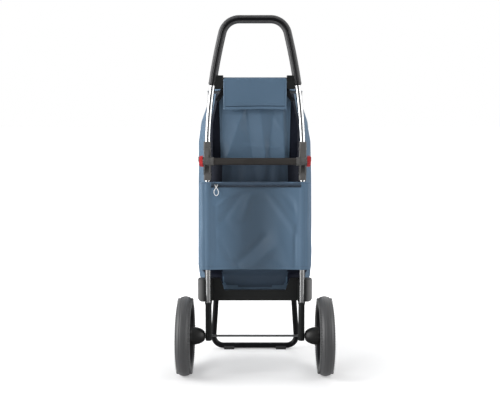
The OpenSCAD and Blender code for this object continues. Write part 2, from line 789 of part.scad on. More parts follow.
// The domed inner hub, which narrows from the wheel to the leg
module hub_dome(side) {
    length = dome_base - dome_tip;
    tip_r = 7;
    steps = 8;
    on_wheel(side) color("#0f0f10") rotate_extrude() polygon(concat(
        [[axle_r + 0.6, -hub_in], [dome_r, -hub_in]],
        [for (k = [1 : steps]) let (a = 90 * k / steps)
            [tip_r + (dome_r - tip_r) * cos(a), -hub_in - length * sin(a)]],
        [[axle_r + 0.6, -hub_in - length]]));
}
module hub_dome_left() { hub_dome(left); }
module hub_dome_right() { hub_dome(right); }

module hub_cap(side) {
    cap_r = hub_r;
    on_wheel(side) color("#202122") difference() {
        translate([0, 0, hub_out]) rotate_extrude() polygon([[0, 0], [cap_r, 0], [cap_r, 2.5],
            [cap_r * 0.8, 5], [cap_r * 0.4, 6.6], [0, 7]]);
        translate([0, 0, hub_out - 1]) cylinder(r = bush_r + 2, h = 5);
    }
}
module hub_cap_left() { hub_cap(left); }
module hub_cap_right() { hub_cap(right); }

// ---- Bag ----

module bag_lower() {
    body_low = tube_foot_z + block_h + 30;
    body_step = (joint_z - 50 - body_low) / 3;
    heights = [bag_bottom_z, bag_bottom_z + 6, bag_bottom_z + 18, bag_bottom_z + 36,
        bag_bottom_z + 60, body_low, body_low + body_step, body_low + 2 * body_step,
        joint_z - 50, joint_z];
    inside = [for (z = heights) if (z > bag_bottom_z + fabric_t) z];
    in_frame() color("#4f6c8a") loft(concat([for (z = heights) bag_ring(z, 0)],
        reversed([for (z = inside) bag_ring(z, -fabric_t)])), false);
}

module bag_upper() {
    heights = [joint_z, joint_z + 50, bag_mouth_z - 110, bag_mouth_z - 85, bag_mouth_z - 60,
        bag_mouth_z - 40, bag_mouth_z - 20, bag_mouth_z];
    in_frame() color("#567391") loft(concat([for (z = heights) bag_ring(z, 0)],
        reversed([for (z = heights) bag_ring(z, -fabric_t)])), true);
}

lid_axis_y = bag_back + 14;
lid_axis_z = bag_mouth_z + 5;

// The skirt starts forward of the bag's narrower back, so that it swings up clear of it
skirt_back = bag_back + 80;

module lid() {
    g = fabric_gap + fabric_t;
    outside = [bag_ring(bag_mouth_z - skirt_h, g), bag_ring(bag_mouth_z - 15, g),
        bag_ring(bag_mouth_z, g - 0.5), scaled_ring(bag_mouth_z + 6, g, 0.97),
        scaled_ring(bag_mouth_z + 0.62 * lid_rise, g, 0.8),
        scaled_ring(bag_mouth_z + 0.88 * lid_rise, g, 0.5), scaled_ring(bag_mouth_z + lid_rise, g, 0.15)];
    inside = [bag_ring(bag_mouth_z - skirt_h, fabric_gap), bag_ring(bag_mouth_z - 15, fabric_gap),
        bag_ring(bag_mouth_z, fabric_gap), scaled_ring(bag_mouth_z + 2.5, fabric_gap, 0.97),
        scaled_ring(bag_mouth_z + 0.62 * lid_rise - fabric_t, fabric_gap, 0.8),
        scaled_ring(bag_mouth_z + 0.88 * lid_rise - fabric_t, fabric_gap, 0.5),
        scaled_ring(bag_mouth_z + lid_rise - fabric_t, fabric_gap, 0.15)];
    in_frame() color("#5f7d9b") difference() {
        loft(concat(reversed(outside), inside), false);
        translate([-bag_half - 10, 0, bag_mouth_z - skirt_h - 10]) {
            cube([2 * bag_half + 20, lid_axis_y, skirt_h + lid_rise + 20]);
            cube([2 * bag_half + 20, skirt_back, skirt_h + 10 + joint_gap]);
        }
    }
}

module lid_strap() {
    y = bag_front + fabric_gap + fabric_t + 0.3;
    top = bag_mouth_z - 8;
    low = buckle_z + 14;
    in_frame() color("#15171c") translate([-strap_w / 2, y, low]) cube([strap_w, strap_t, top - low]);
}

module front_strap() {
    low = buckle_z - 90;
    in_frame() color("#15171c") translate([-strap_w / 2, bag_front + 0.3, low])
        cube([strap_w, strap_t, buckle_z - 20 - low]);
}

module buckle_plug() {
    w = strap_w + 8;
    y = bag_front + 1;
    in_frame() color("#18191b") {
        translate([-w / 2, y, buckle_z + 6.3]) cube([w, buckle_t, 7.5]);
        for (x = [-1, 0, 1]) translate([x * 11 - 2, y + 3.2, buckle_z - 12]) cube([4, 3.6, 20]);
    }
}

module buckle_socket() {
    w = strap_w + 8;
    y = bag_front + 1;
    in_frame() color("#1c1d1f") difference() {
        translate([-w / 2, y, buckle_z - 20]) cube([w, buckle_t, 26]);
        translate([-w / 2 + 2.2, y + 2.2, buckle_z - 14]) cube([w - 4.4, buckle_t - 4.4, 30]);
    }
}

// ---- Rear pocket and zip ----

pocket_back = tube_front + 5;
zip_z = pocket_z + pocket_h - zip_drop;

module pocket_outline(half, back, front, r) {
    translate([-half, -back + r]) square([2 * half, front + back - r]);
    translate([-half + r, -back]) square([2 * half - 2 * r, r]);
    for (s = [-1, 1]) translate([s * (half - r), -back + r]) circle(r = r);
}

module rear_pocket() {
    inner = tube_in - 4;
    in_frame() color("#587895") {
        translate([0, 0, pocket_z]) linear_extrude(pocket_h) difference() {
            pocket_outline(pocket_half, pocket_back, bag_back - 0.5, pocket_corner);
            pocket_outline(pocket_half - panel_t, pocket_back - panel_t, bag_back + 5,
                pocket_corner - panel_t);
        }
        translate([-inner, -pocket_back + panel_t / 2, pocket_z])
            cube([2 * inner, pocket_back - panel_t / 2 + bag_back - 0.5, panel_t]);
    }
}

module zip_tape() {
    in_frame() color("#26384c") translate([-tube_in, -pocket_back - 0.8, zip_z - zip_w / 2])
        cube([2 * tube_in + 6, 0.75, zip_w]);
}

pull_x = 17 - tube_in;

module zip_slider() {
    y = -pocket_back - 1.1;
    in_frame() color("#2a2b2d") {
        translate([pull_x - 4, y - 3, zip_z - 6]) cube([8, 3, 11]);
        translate([pull_x - 1.5, y - 3.9, zip_z - 4]) cube([3, 1.1, 6]);
    }
}

// The looped cord that pulls the zip: it leaves the slider, crosses itself, hangs in a
// loop and comes back up. Points are (x, y, z) from the slider's eye.
cord_r = 0.9;
cord_route = [[-3.6, 1.9, 5], [-3, 1.5, 3], [-2, 1.1, 1], [-0.6, 0.8, -1.4], [1.2, 0.9, -4],
    [3.2, 1.1, -7], [5, 1.2, -10.4], [6, 1.3, -14], [6, 1.3, -17.6], [5, 1.2, -21],
    [3, 1.1, -23.6], [0.4, 1, -24.7], [-2.4, 1, -23.6], [-4.6, 0.9, -21], [-5.8, 0.6, -17.6],
    [-5.9, 0.1, -14], [-4.9, -0.5, -10.4], [-3.1, -1, -7], [-1.1, -1.3, -4],
    [0.7, -1.2, -1.4], [2.1, -0.6, 1], [3.1, 0.4, 3], [3.7, 1.3, 5]];

function unit(v) = v / norm(v);
function tangent(p, k) = unit(p[min(k + 1, len(p) - 1)] - p[max(k - 1, 0)]);
function ring_about(p, t, r, n) =
    let (u = unit(cross(t, [0, 1, 0])), v = cross(t, u))
    [for (k = [0 : n - 1]) p + r * cos(360 * k / n) * u + r * sin(360 * k / n) * v];

module pull_cord() {
    eye = [pull_x, -pocket_back - 7.2, zip_z - 1];
    points = [for (p = cord_route) p + eye];
    in_frame() color("white") loft(reversed([for (k = [0 : len(points) - 1])
        ring_about(points[k], tangent(points, k), cord_r, 8)]), false);
}

lower_tube_left();
lower_tube_right();
leg_left();
leg_right();
base_crossmember();
axle();
axle_washers();
axle_clips();
lower_hinge_left();
lower_hinge_right();
crossbar();
hinge_rod();
lower_rivets();
button_springs();
foot_pivot_pins();
release_button_left();
release_button_right();
upper_tube_left();
upper_tube_right();
upper_hinge_left();
upper_hinge_right();
upper_rivets();
handle_core();
handle_grip();
top_bar();
top_bracket_left();
top_bracket_right();
hanging_flap();
back_panel();
corner_straps();
foot_tube();
base_shelf();
foot_pads();
tyre_left();
rim_left();
hub_dome_left();
hub_cap_left();
bush_left();
tyre_right();
rim_right();
hub_dome_right();
hub_cap_right();
bush_right();
bag_lower();
bag_upper();
rear_pocket();
zip_tape();
zip_slider();
pull_cord();
lid();
lid_strap();
buckle_plug();
buckle_socket();
front_strap();
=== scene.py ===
import bpy
import math
import numpy as np
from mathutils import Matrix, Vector


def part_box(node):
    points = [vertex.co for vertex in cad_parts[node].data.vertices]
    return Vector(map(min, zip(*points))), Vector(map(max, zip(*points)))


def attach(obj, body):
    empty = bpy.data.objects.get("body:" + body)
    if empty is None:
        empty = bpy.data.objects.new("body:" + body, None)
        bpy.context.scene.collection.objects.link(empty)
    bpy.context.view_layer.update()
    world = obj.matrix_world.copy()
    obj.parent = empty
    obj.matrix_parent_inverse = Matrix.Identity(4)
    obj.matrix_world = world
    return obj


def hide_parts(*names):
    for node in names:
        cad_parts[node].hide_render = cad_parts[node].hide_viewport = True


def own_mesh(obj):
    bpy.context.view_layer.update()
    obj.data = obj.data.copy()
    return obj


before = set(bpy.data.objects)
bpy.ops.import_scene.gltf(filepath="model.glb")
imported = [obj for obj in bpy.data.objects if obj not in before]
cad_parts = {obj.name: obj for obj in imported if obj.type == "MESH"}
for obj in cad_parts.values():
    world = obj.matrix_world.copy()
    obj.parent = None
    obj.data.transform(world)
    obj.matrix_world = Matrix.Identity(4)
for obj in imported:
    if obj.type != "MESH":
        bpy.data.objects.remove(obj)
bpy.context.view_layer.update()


# ---- Viewpoint, light and floor ----
# A white room: pale side walls in the world's light and four soft panels, the strongest
# on the left. The floor glows to the camera, more so away from its middle, and is kept
# darker in what the glossy pieces mirror.
camera_data = bpy.data.cameras.new("camera")
camera_data.lens, camera_data.sensor_width, camera_data.shift_x = 52.85, 36.0, -0.01
camera = bpy.data.objects.new("camera", camera_data)
camera.location = (0.0, -2.073, 0.711)
camera.rotation_euler = (math.radians(90 - 6.25), 0.0, 0.0)
bpy.context.scene.collection.objects.link(camera)
bpy.context.scene.camera = camera
bpy.context.scene.view_settings.view_transform = "Standard"


def soft_panel(name, place, aim, width, height, watts):
    """A rectangular light that faces the point aim."""
    data = bpy.data.lights.new(name, "AREA")
    data.shape, data.size, data.size_y, data.energy = "RECTANGLE", width, height, watts
    panel = bpy.data.objects.new(name, data)
    panel.location = place
    panel.rotation_euler = (Vector(aim) - Vector(place)).to_track_quat("-Z", "Y").to_euler()
    bpy.context.scene.collection.objects.link(panel)


soft_panel("left_panel", (-2.5, -1.0, 1.3), (0, 0, 0.5), 1.6, 2.4, 82)
soft_panel("right_panel", (2.6, -0.8, 1.1), (0, 0, 0.5), 1.2, 2.2, 34)
soft_panel("top_panel", (0.0, 0.4, 2.8), (0, 0, 0.4), 2.2, 1.6, 14)
soft_panel("far_panel", (0.4, 2.4, 1.6), (0, 0, 0.5), 1.8, 1.4, 12)


def add(tree, kind, wires, **settings):
    """Adds a node. wires maps each input's name or number to a value or to an output."""
    made = tree.nodes.new(kind)
    for key, value in settings.items():
        setattr(made, key, value)
    for key, value in wires.items():
        if isinstance(value, bpy.types.NodeSocket):
            tree.links.new(value, made.inputs[key])
        else:
            made.inputs[key].default_value = value
    return made


def by_side(tree, where, near, far, least, most):
    """A value that rises smoothly with the sideways distance from the middle, from least
    at near to most at far."""
    split = add(tree, "ShaderNodeSeparateXYZ", {"Vector": where})
    offset = add(tree, "ShaderNodeMath", {0: split.outputs["X"]}, operation="ABSOLUTE")
    risen = add(tree, "ShaderNodeMapRange", {"Value": offset.outputs[0], "From Min": near,
        "From Max": far, "To Min": least, "To Max": most}, interpolation_type="SMOOTHSTEP")
    return risen.outputs["Result"]


world = bpy.data.worlds.new("white_room")
bpy.context.scene.world = world
world.use_nodes = True
room = world.node_tree
backdrop = room.nodes["Background"]
backdrop.inputs["Color"].default_value = (1.0, 1.0, 1.0, 1)
looking = add(room, "ShaderNodeTexCoord", {}).outputs["Generated"]
side_walls = by_side(room, looking, 0.15, 0.80, 0.035, 0.95)
ray = add(room, "ShaderNodeLightPath", {})
brightness = add(room, "ShaderNodeMath", {0: side_walls, 1: ray.outputs["Is Camera Ray"]},
                 operation="MAXIMUM")
room.links.new(brightness.outputs[0], backdrop.inputs["Strength"])


def new_finish(name, colour, roughness, **values):
    """A material whose plain values sit on its shader, as (material, tree, shader)."""
    made = bpy.data.materials.new(name)
    made.use_nodes = True
    shader = made.node_tree.nodes["Principled BSDF"]
    shader.inputs["Base Color"].default_value = (*colour, 1)
    shader.inputs["Roughness"].default_value = roughness
    for socket, value in values.items():
        shader.inputs[socket.replace("_", " ")].default_value = value
    return made, made.node_tree, shader


def blotched(tree, shader, colour, where, scale, share, rough_range):
    """Varies a finish's colour and roughness a little from place to place."""
    spots = add(tree, "ShaderNodeTexNoise", {"Vector": where, "Scale": scale, "Detail": 4.0})
    mix = add(tree, "ShaderNodeMix", {0: spots.outputs["Fac"]}, data_type="RGBA")
    mix.inputs[6].default_value = (*[c * (1 - share) for c in colour], 1)
    mix.inputs[7].default_value = (*[min(1, c * (1 + share)) for c in colour], 1)
    tree.links.new(mix.outputs[2], shader.inputs["Base Color"])
    level = add(tree, "ShaderNodeMapRange", {"Value": spots.outputs["Fac"],
        "From Min": 0.3, "From Max": 0.7, "To Min": rough_range[0], "To Max": rough_range[1]})
    tree.links.new(level.outputs["Result"], shader.inputs["Roughness"])
    return mix.outputs[2]


def blotched_finish(name, colour, rough_range, scale, share, **values):
    """A blotched material on its piece's own coordinates, as (material, tree, shader,
    coordinates, colour)."""
    made, tree, shader = new_finish(name, colour, rough_range[0], **values)
    place = add(tree, "ShaderNodeTexCoord", {}).outputs["Object"]
    tone = blotched(tree, shader, colour, place, scale, share, rough_range)
    return made, tree, shader, place, tone


floor_paint, tree, shader, place, paint = blotched_finish("floor_paint", (0.93, 0.93, 0.935),
                                                          (0.5, 0.6), 3.0, 0.01)
ray = add(tree, "ShaderNodeLightPath", {})
mirrored = add(tree, "ShaderNodeMix", {0: ray.outputs["Is Glossy Ray"], 6: paint,
    7: (0.20, 0.20, 0.20, 1)}, data_type="RGBA")
tree.links.new(mirrored.outputs[2], shader.inputs["Base Color"])
from_middle = add(tree, "ShaderNodeVectorMath", {0: place}, operation="LENGTH")
fading = add(tree, "ShaderNodeMapRange", {"Value": from_middle.outputs["Value"],
    "From Min": 0.18, "From Max": 1.1, "To Min": 0.22, "To Max": 0.85},
    interpolation_type="SMOOTHSTEP")
glow = add(tree, "ShaderNodeMath", {0: ray.outputs["Is Camera Ray"],
    1: fading.outputs["Result"]}, operation="MULTIPLY")
tree.links.new(glow.outputs[0], shader.inputs["Emission Strength"])
shader.inputs["Emission Color"].default_value = (1, 1, 1, 1)
floor_mesh = bpy.data.meshes.new("floor")
floor_mesh.from_pydata([(-40, -2.6, 0), (40, -2.6, 0), (40, 60, 0), (-40, 60, 0)], [],
                       [(0, 1, 2, 3)])
floor_mesh.materials.append(floor_paint)
floor = bpy.data.objects.new("floor", floor_mesh)
bpy.context.scene.collection.objects.link(floor)


# ---- Zip pull ----
# A short white braided cord threaded through the zip slider's eye. It crosses itself
# under the slider and hangs against the pocket in one small loop.
def skin(name, rings, *finishes, around=True, closed=False, ends=True):
    """A mesh through a grid of points, rings[i][j], with its finishes and a UV map in
    metres. around joins each ring to itself, closed joins the last ring to the first,
    and ends closes both ends."""
    rings = np.asarray(rings, float)
    n, m = rings.shape[:2]
    rows, columns = n if closed else n - 1, m if around else m - 1
    i, j = np.meshgrid(np.arange(rows), np.arange(columns), indexing="ij")
    i2, j2 = (i + 1) % n, (j + 1) % m
    quads = np.stack([i * m + j, i * m + j2, i2 * m + j2, i2 * m + j], -1).reshape(-1, 4)
    faces = quads.tolist()
    if ends and around and not closed:
        faces += [list(range(m))[::-1], [(n - 1) * m + k for k in range(m)]]
    mesh = bpy.data.meshes.new(name)
    mesh.from_pydata(rings.reshape(-1, 3).tolist(), [], faces)
    wide = np.concatenate([rings, rings[:, :1]], 1)
    tall = np.concatenate([rings, rings[:1]], 0)
    u = np.concatenate([[0], np.linalg.norm(np.diff(wide, axis=1), axis=2).mean(0).cumsum()])
    v = np.concatenate([[0], np.linalg.norm(np.diff(tall, axis=0), axis=2).mean(1).cumsum()])
    uv = np.stack([np.stack([u[j], v[i]], -1), np.stack([u[j + 1], v[i]], -1),
                   np.stack([u[j + 1], v[i + 1]], -1), np.stack([u[j], v[i + 1]], -1)], 2)
    flat = np.zeros((len(mesh.loops), 2), np.float32)
    flat[:quads.size] = uv.reshape(-1, 2)
    mesh.uv_layers.new(name="metres").data.foreach_set("uv", flat.ravel())
    mesh.polygons.foreach_set("use_smooth", [True] * len(mesh.polygons))
    a, b, c, d = (rings.reshape(-1, 3)[quads[:, k]] for k in range(4))
    if around and (ends or closed) and (np.cross(c - a, d - b) * (a + b + c + d)).sum() < 0:
        mesh.flip_normals()
    mesh.update()
    for finish in finishes:
        mesh.materials.append(finish)
    made = bpy.data.objects.new(name, mesh)
    bpy.context.scene.collection.objects.link(made)
    return made


def smooth_line(points, count):
    """count points on a smooth curve through points."""
    p = np.asarray(points, float)
    p = np.concatenate([2 * p[:1] - p[1:2], p, 2 * p[-1:] - p[-2:-1]])
    t = np.linspace(0, len(p) - 3 - 1e-9, count)
    k = t.astype(int)
    t = (t - k)[:, None]
    a, b, c, d = p[k], p[k + 1], p[k + 2], p[k + 3]
    return 0.5 * (2 * b + (c - a) * t + (2 * a - 5 * b + 4 * c - d) * t ** 2
                  + (3 * b - 3 * c + d - a) * t ** 3)


def tube_rings(line, outline, up):
    """Copies of outline, pairs of (side, up) offsets, standing square to a line."""
    line = np.asarray(line, float)
    ahead = np.gradient(line, axis=0)
    ahead /= np.linalg.norm(ahead, axis=1)[:, None]
    side = np.cross(ahead, np.asarray(up, float))
    side /= np.linalg.norm(side, axis=1)[:, None]
    rise = np.cross(side, ahead)
    o = np.asarray(outline, float)
    return line[:, None] + o[None, :, :1] * side[:, None] + o[None, :, 1:] * rise[:, None]


def round_outline(radius, sides):
    """A circle, in (side, up) pairs."""
    a = np.linspace(0, 2 * math.pi, sides, endpoint=False)
    return np.stack([radius * np.cos(a), -radius * np.sin(a)], 1)


def raised(tree, shader, height, strength, distance):
    """Lets a pattern's height stand up from the surface."""
    bump = add(tree, "ShaderNodeBump", {"Strength": strength, "Distance": distance,
        "Height": height})
    tree.links.new(bump.outputs["Normal"], shader.inputs["Normal"])


def settle(piece, body, slot, *stands_for):
    """Puts a finished piece on its CAD body and hides the CAD nodes it replaces. slot is not used.
    """
    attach(piece, body)
    if stands_for:
        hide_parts(*stands_for)


cord_diameter = 0.0018
slider_low, slider_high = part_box("zip_slider")
eye = np.array([(slider_low.x + slider_high.x) / 2, slider_low.y - 0.0009, slider_low.z + 0.005])
cord_steps = [(-3.6, 1.9, 5), (-3, 1.5, 3), (-2, 1.1, 1), (-0.6, 0.8, -1.4), (1.2, 0.9, -4),
    (3.2, 1.1, -7), (5, 1.2, -10.4), (6, 1.3, -14), (6, 1.3, -17.6), (5, 1.2, -21),
    (3, 1.1, -23.6), (0.4, 1, -24.7), (-2.4, 1, -23.6), (-4.6, 0.9, -21), (-5.8, 0.6, -17.6),
    (-5.9, 0.1, -14), (-4.9, -0.5, -10.4), (-3.1, -1, -7), (-1.1, -1.3, -4),
    (0.7, -1.2, -1.4), (2.1, -0.6, 1), (3.1, 0.4, 3), (3.7, 1.3, 5)]
cord_line = smooth_line(eye + np.array(cord_steps) / 1000, 180)
cord_white, tree, shader = new_finish("cord_white", (0.78, 0.79, 0.79), 0.75, Sheen_Weight=0.3)
along = add(tree, "ShaderNodeUVMap", {}, uv_map="metres")
plait = add(tree, "ShaderNodeTexWave", {"Vector": along.outputs["UV"], "Scale": 190.0,
    "Distortion": 0.0}, bands_direction="DIAGONAL")
turned = add(tree, "ShaderNodeMapping", {"Vector": along.outputs["UV"], "Scale": (-1, 1, 1)})
plait_back = add(tree, "ShaderNodeTexWave", {"Vector": turned.outputs["Vector"],
    "Scale": 190.0, "Distortion": 0.0}, bands_direction="DIAGONAL")
crossed = add(tree, "ShaderNodeMath", {0: plait.outputs["Fac"], 1: plait_back.outputs["Fac"]},
    operation="MAXIMUM")
raised(tree, shader, crossed.outputs[0], 0.6, 0.0002)
blotched(tree, shader, (0.78, 0.79, 0.79), along.outputs["UV"], 300.0, 0.06, (0.7, 0.8))
pull = skin("zip_pull", tube_rings(cord_line, round_outline(cord_diameter / 2, 14), (0, 1, 0)),
            cord_white)
settle(pull, "zip_slider", "white_cord", "pull_cord")


# ---- Uprights ----
# Four lengths of extruded aluminium with a groove down the front and back, polished and
# clear anodised. The lower pair is straight, the upper pair bends gently inwards.
def coat(finish, *nodes):
    """Gives CAD nodes a finish."""
    for node in nodes:
        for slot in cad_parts[node].material_slots:
            slot.material = finish


def metal(name, colour, rough_range, drawn):
    """A metal with faint lines along its length, drawn = (x, y, z) scale of the lines."""
    made, tree, shader, place, _ = blotched_finish(name, colour, rough_range, 14.0, 0.04,
                                                   Metallic=1.0)
    stretched = add(tree, "ShaderNodeMapping", {"Vector": place, "Scale": drawn})
    lines = add(tree, "ShaderNodeTexNoise", {"Vector": stretched.outputs["Vector"],
        "Scale": 900.0, "Detail": 3.0})
    raised(tree, shader, lines.outputs["Fac"], 0.12, 0.0001)
    return made


anodised = metal("anodised_aluminium", (0.70, 0.705, 0.71), (0.14, 0.24), (1, 1, 0.02))
coat(anodised, "lower_tube_left", "lower_tube_right", "upper_tube_left", "upper_tube_right")


# ---- Legs and cross-member ----
# Black glass-filled nylon mouldings with a fine grain. The legs plug into the uprights.
# The cross-member is pushed on from in front and carries the foot, and its end blocks
# are painted paler towards their outer ends, a painted highlight.
def moulded(name, colour, rough_range, grain_scale, grain_depth, **values):
    """A moulded plastic or rubber with a fine grain and a faintly uneven gloss."""
    made, tree, shader, place, _ = blotched_finish(name, colour, rough_range, 22.0, 0.12,
                                                   **values)
    grain = add(tree, "ShaderNodeTexVoronoi", {"Vector": place, "Scale": grain_scale})
    dust = add(tree, "ShaderNodeTexNoise", {"Vector": place, "Scale": grain_scale * 2.3,
        "Detail": 2.0})
    both = add(tree, "ShaderNodeMath", {0: grain.outputs["Distance"], 1: dust.outputs["Fac"]},
        operation="ADD")
    raised(tree, shader, both.outputs[0], 0.35, grain_depth)
    return made


frame_black = moulded("frame_black", (0.011, 0.012, 0.012), (0.44, 0.56), 900.0, 0.0001,
                      Specular_IOR_Level=0.20)
coat(frame_black, "leg_left", "leg_right", "base_shelf", "top_bracket_left",
     "top_bracket_right")
# The cross-member's end blocks are painted paler towards their outer ends: painted highlight.
member_painted_highlight, tree, shader, place, tone = blotched_finish(
    "member_painted_highlight", (0.011, 0.012, 0.012), (0.42, 0.52), 22.0, 0.12, Specular_IOR_Level=0.35)
in_block = by_side(tree, place, 0.137, 0.158, 0.0, 1.0)
paler = add(tree, "ShaderNodeMix", {0: in_block, 6: tone, 7: (0.21, 0.21, 0.21, 1)},
            data_type="RGBA")
tree.links.new(paler.outputs[2], shader.inputs["Base Color"])
coat(member_painted_highlight, "base_crossmember")


# ---- Axle, rivets and pins ----
# Zinc-plated steel: a rod right through both legs with washers and spring clips, and
# rivets and pins closed cold at their ends.
zinc = metal("zinc_plate", (0.46, 0.47, 0.48), (0.24, 0.38), (0.05, 1, 1))
coat(zinc, "axle", "axle_washers", "axle_clips", "hinge_rod", "lower_rivets",
     "upper_rivets", "button_springs", "foot_pivot_pins")


# ---- Folding joint ----
# Two moulded housings on each upright, hinged together on a steel rod that also runs
# through the crossbar. They are a warm charcoal nylon, a little lighter than the legs.
hinge_nylon = moulded("hinge_nylon", (0.088, 0.086, 0.084), (0.40, 0.52), 700.0, 0.0001)
coat(hinge_nylon, "lower_hinge_left", "lower_hinge_right", "upper_hinge_left",
     "upper_hinge_right")
bar_nylon = moulded("bar_nylon", (0.026, 0.023, 0.021), (0.42, 0.52), 700.0, 0.0001)
coat(bar_nylon, "crossbar")


# ---- Release buttons ----
# Red acetal caps, one on each side, whose stems run in the lower housing against a
# spring. Satin, with the grain of the mould's face.
signal_red = moulded("signal_red", (0.62, 0.045, 0.050), (0.30, 0.40), 500.0, 0.00005,
                     Subsurface_Weight=0.05)
coat(signal_red, "release_button_left", "release_button_right")


# ---- Handle ----
# One aluminium bow, plugged into the upper tubes at both ends, under a long sleeve of
# soft black foam rubber with a rolled collar at each lower end.
grip_low, grip_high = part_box("handle_grip")
tube_low, tube_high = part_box("lower_tube_right")
axle_low, axle_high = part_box("axle")
rod_low, rod_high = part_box("hinge_rod")
middle_y = (axle_low.y + axle_high.y) / 2
upright_x = (tube_low.x + tube_high.x) / 2
joint_z = (rod_low.z + rod_high.z) / 2
grip_wide = 0.0155
grip_deep = grip_high.y - grip_low.y
flat_x, lean = 0.042, math.radians(14)
rise, run = grip_high.z - grip_wide / 2 - joint_z, upright_x - flat_x
spread = (1 - math.cos(lean)) * (1 - math.sin(lean)) - math.cos(lean) * math.sin(lean)
side_radius = (run * (1 - math.sin(lean)) - math.cos(lean) * rise) / spread
top_radius = ((1 - math.cos(lean)) * rise - math.sin(lean) * run) / spread


def bow_line(low_z, steps):
    """The handle's centre line from one lower end, at height low_z, to the other."""
    a = np.linspace(math.asin((low_z - joint_z) / side_radius), lean, steps)
    long_side = np.stack([upright_x - side_radius * (1 - np.cos(a)), 0 * a,
                          joint_z + side_radius * np.sin(a)], 1)
    b = np.linspace(lean, math.pi / 2, steps)[1:]
    corner = np.stack([flat_x + top_radius * np.cos(b), 0 * b,
                       grip_high.z - grip_wide / 2 - top_radius + top_radius * np.sin(b)], 1)
    half = np.concatenate([long_side, corner])
    top = np.linspace(flat_x, -flat_x, 12)[1:-1]
    level = np.stack([top, 0 * top, 0 * top + half[-1, 2]], 1)
    return np.concatenate([half, level, half[::-1] * (-1, 1, 1)]) + (0, middle_y, 0)


def stadium(width, depth, sides):
    """An outline with straight sides and round ends, in (side, up) pairs."""
    a = np.linspace(0, 2 * math.pi, sides, endpoint=False)
    r, s = width / 2, np.sin(a)
    return np.stack([(depth / 2 - r) * np.clip(s * 4, -1, 1) + r * s, r * np.cos(a)], 1)


grip_path = bow_line(grip_low.z + 0.001, 34)
walked = np.concatenate([[0], np.linalg.norm(np.diff(grip_path, axis=0), axis=1).cumsum()])
from_end = np.minimum(walked, walked[-1] - walked)
sleeve = tube_rings(grip_path, stadium(grip_wide, grip_deep, 36), (0, 1, 0))
centre = grip_path[:, None]
collar = 1 + 0.05 * np.exp(-((from_end - 0.004) / 0.0025) ** 2) - 0.22 * (from_end < 0.0004)
sleeve = centre + (sleeve - centre) * collar[:, None, None]
grip_rubber, tree, shader, place, _ = blotched_finish(
    "grip_rubber", (0.050, 0.050, 0.052), (0.40, 0.52), 30.0, 0.14, Sheen_Weight=0.12)
pores = add(tree, "ShaderNodeTexVoronoi", {"Vector": place, "Scale": 1500.0})
raised(tree, shader, pores.outputs["Distance"], 0.4, 0.0001)
grip = skin("grip_sleeve", sleeve, grip_rubber)
settle(grip, "upper_frame", "grip_rubber", "handle_grip")
black_enamel, tree, shader, place, _ = blotched_finish(
    "black_enamel", (0.006, 0.006, 0.007), (0.26, 0.36), 25.0, 0.15, Specular_IOR_Level=0.22)
peel = add(tree, "ShaderNodeTexNoise", {"Vector": place, "Scale": 420.0, "Detail": 2.0})
raised(tree, shader, peel.outputs["Fac"], 0.25, 0.0002)
coat(black_enamel, "handle_core", "top_bar")


# ---- Foot ----
# One length of thin steel tube, bent to a bow that reaches forward under the bag and
# down to the ground, powder coated black. Its flattened ends turn on the pivot pins.
def grown(name, lines, tree_builder, values, finish):
    """Runs a Geometry Nodes tree over lines of points and keeps the result as a mesh.
    lines holds pairs (points, outward directions)."""
    points = np.concatenate([np.asarray(p, float) for p, _ in lines])
    outs = np.concatenate([np.broadcast_to(o, np.shape(p)) for p, o in lines])
    edges, start = [], 0
    for p, _ in lines:
        edges += [(k, k + 1) for k in range(start, start + len(p) - 1)]
        start += len(p)
    guide = bpy.data.meshes.new(name + "_guide")
    guide.from_pydata(points.tolist(), edges, [])
    guide.attributes.new("out", "FLOAT_VECTOR", "POINT").data.foreach_set(
        "vector", outs.astype(np.float32).ravel())
    carrier = bpy.data.objects.new(name + "_guide", guide)
    bpy.context.scene.collection.objects.link(carrier)
    modifier = carrier.modifiers.new("grow", "NODES")
    modifier.node_group = tree_builder
    for socket in tree_builder.interface.items_tree:
        if socket.name in values:
            modifier[socket.identifier] = values[socket.name]
        elif socket.name == "Finish":
            modifier[socket.identifier] = finish
    seen = carrier.evaluated_get(bpy.context.evaluated_depsgraph_get())
    mesh = bpy.data.meshes.new_from_object(seen)
    mesh.name = name
    bpy.data.objects.remove(carrier)
    mesh.polygons.foreach_set("use_smooth", [True] * len(mesh.polygons))
    made = bpy.data.objects.new(name, mesh)
    bpy.context.scene.collection.objects.link(made)
    return made


def new_tree(name, sizes):
    """A Geometry Nodes tree with a geometry, the named sizes and a finish as inputs."""
    tree = bpy.data.node_groups.new(name, "GeometryNodeTree")
    face = tree.interface
    face.new_socket("Geometry", in_out="INPUT", socket_type="NodeSocketGeometry")
    for size in sizes:
        face.new_socket(size, in_out="INPUT", socket_type="NodeSocketFloat")
    face.new_socket("Finish", in_out="INPUT", socket_type="NodeSocketMaterial")
    face.new_socket("Geometry", in_out="OUTPUT", socket_type="NodeSocketGeometry")
    return tree, tree.nodes.new("NodeGroupInput").outputs


def close_tree(tree, geometry, finish):
    """Ends a Geometry Nodes tree with real geometry in its finish."""
    realised = add(tree, "GeometryNodeRealizeInstances", {"Geometry": geometry})
    painted = add(tree, "GeometryNodeSetMaterial", {"Geometry": realised.outputs[0],
        "Material": finish})
    add(tree, "NodeGroupOutput", {"Geometry": painted.outputs[0]})


bent_tube, inlet = new_tree("bent_tube", ["Radius"])
path = add(bent_tube, "GeometryNodeMeshToCurve", {"Mesh": inlet["Geometry"]})
section = add(bent_tube, "GeometryNodeCurvePrimitiveCircle", {"Resolution": 28,
    "Radius": inlet["Radius"]})
swept = add(bent_tube, "GeometryNodeCurveToMesh", {"Curve": path.outputs[0],
    "Profile Curve": section.outputs[0], "Fill Caps": True})
close_tree(bent_tube, swept.outputs[0], inlet["Finish"])

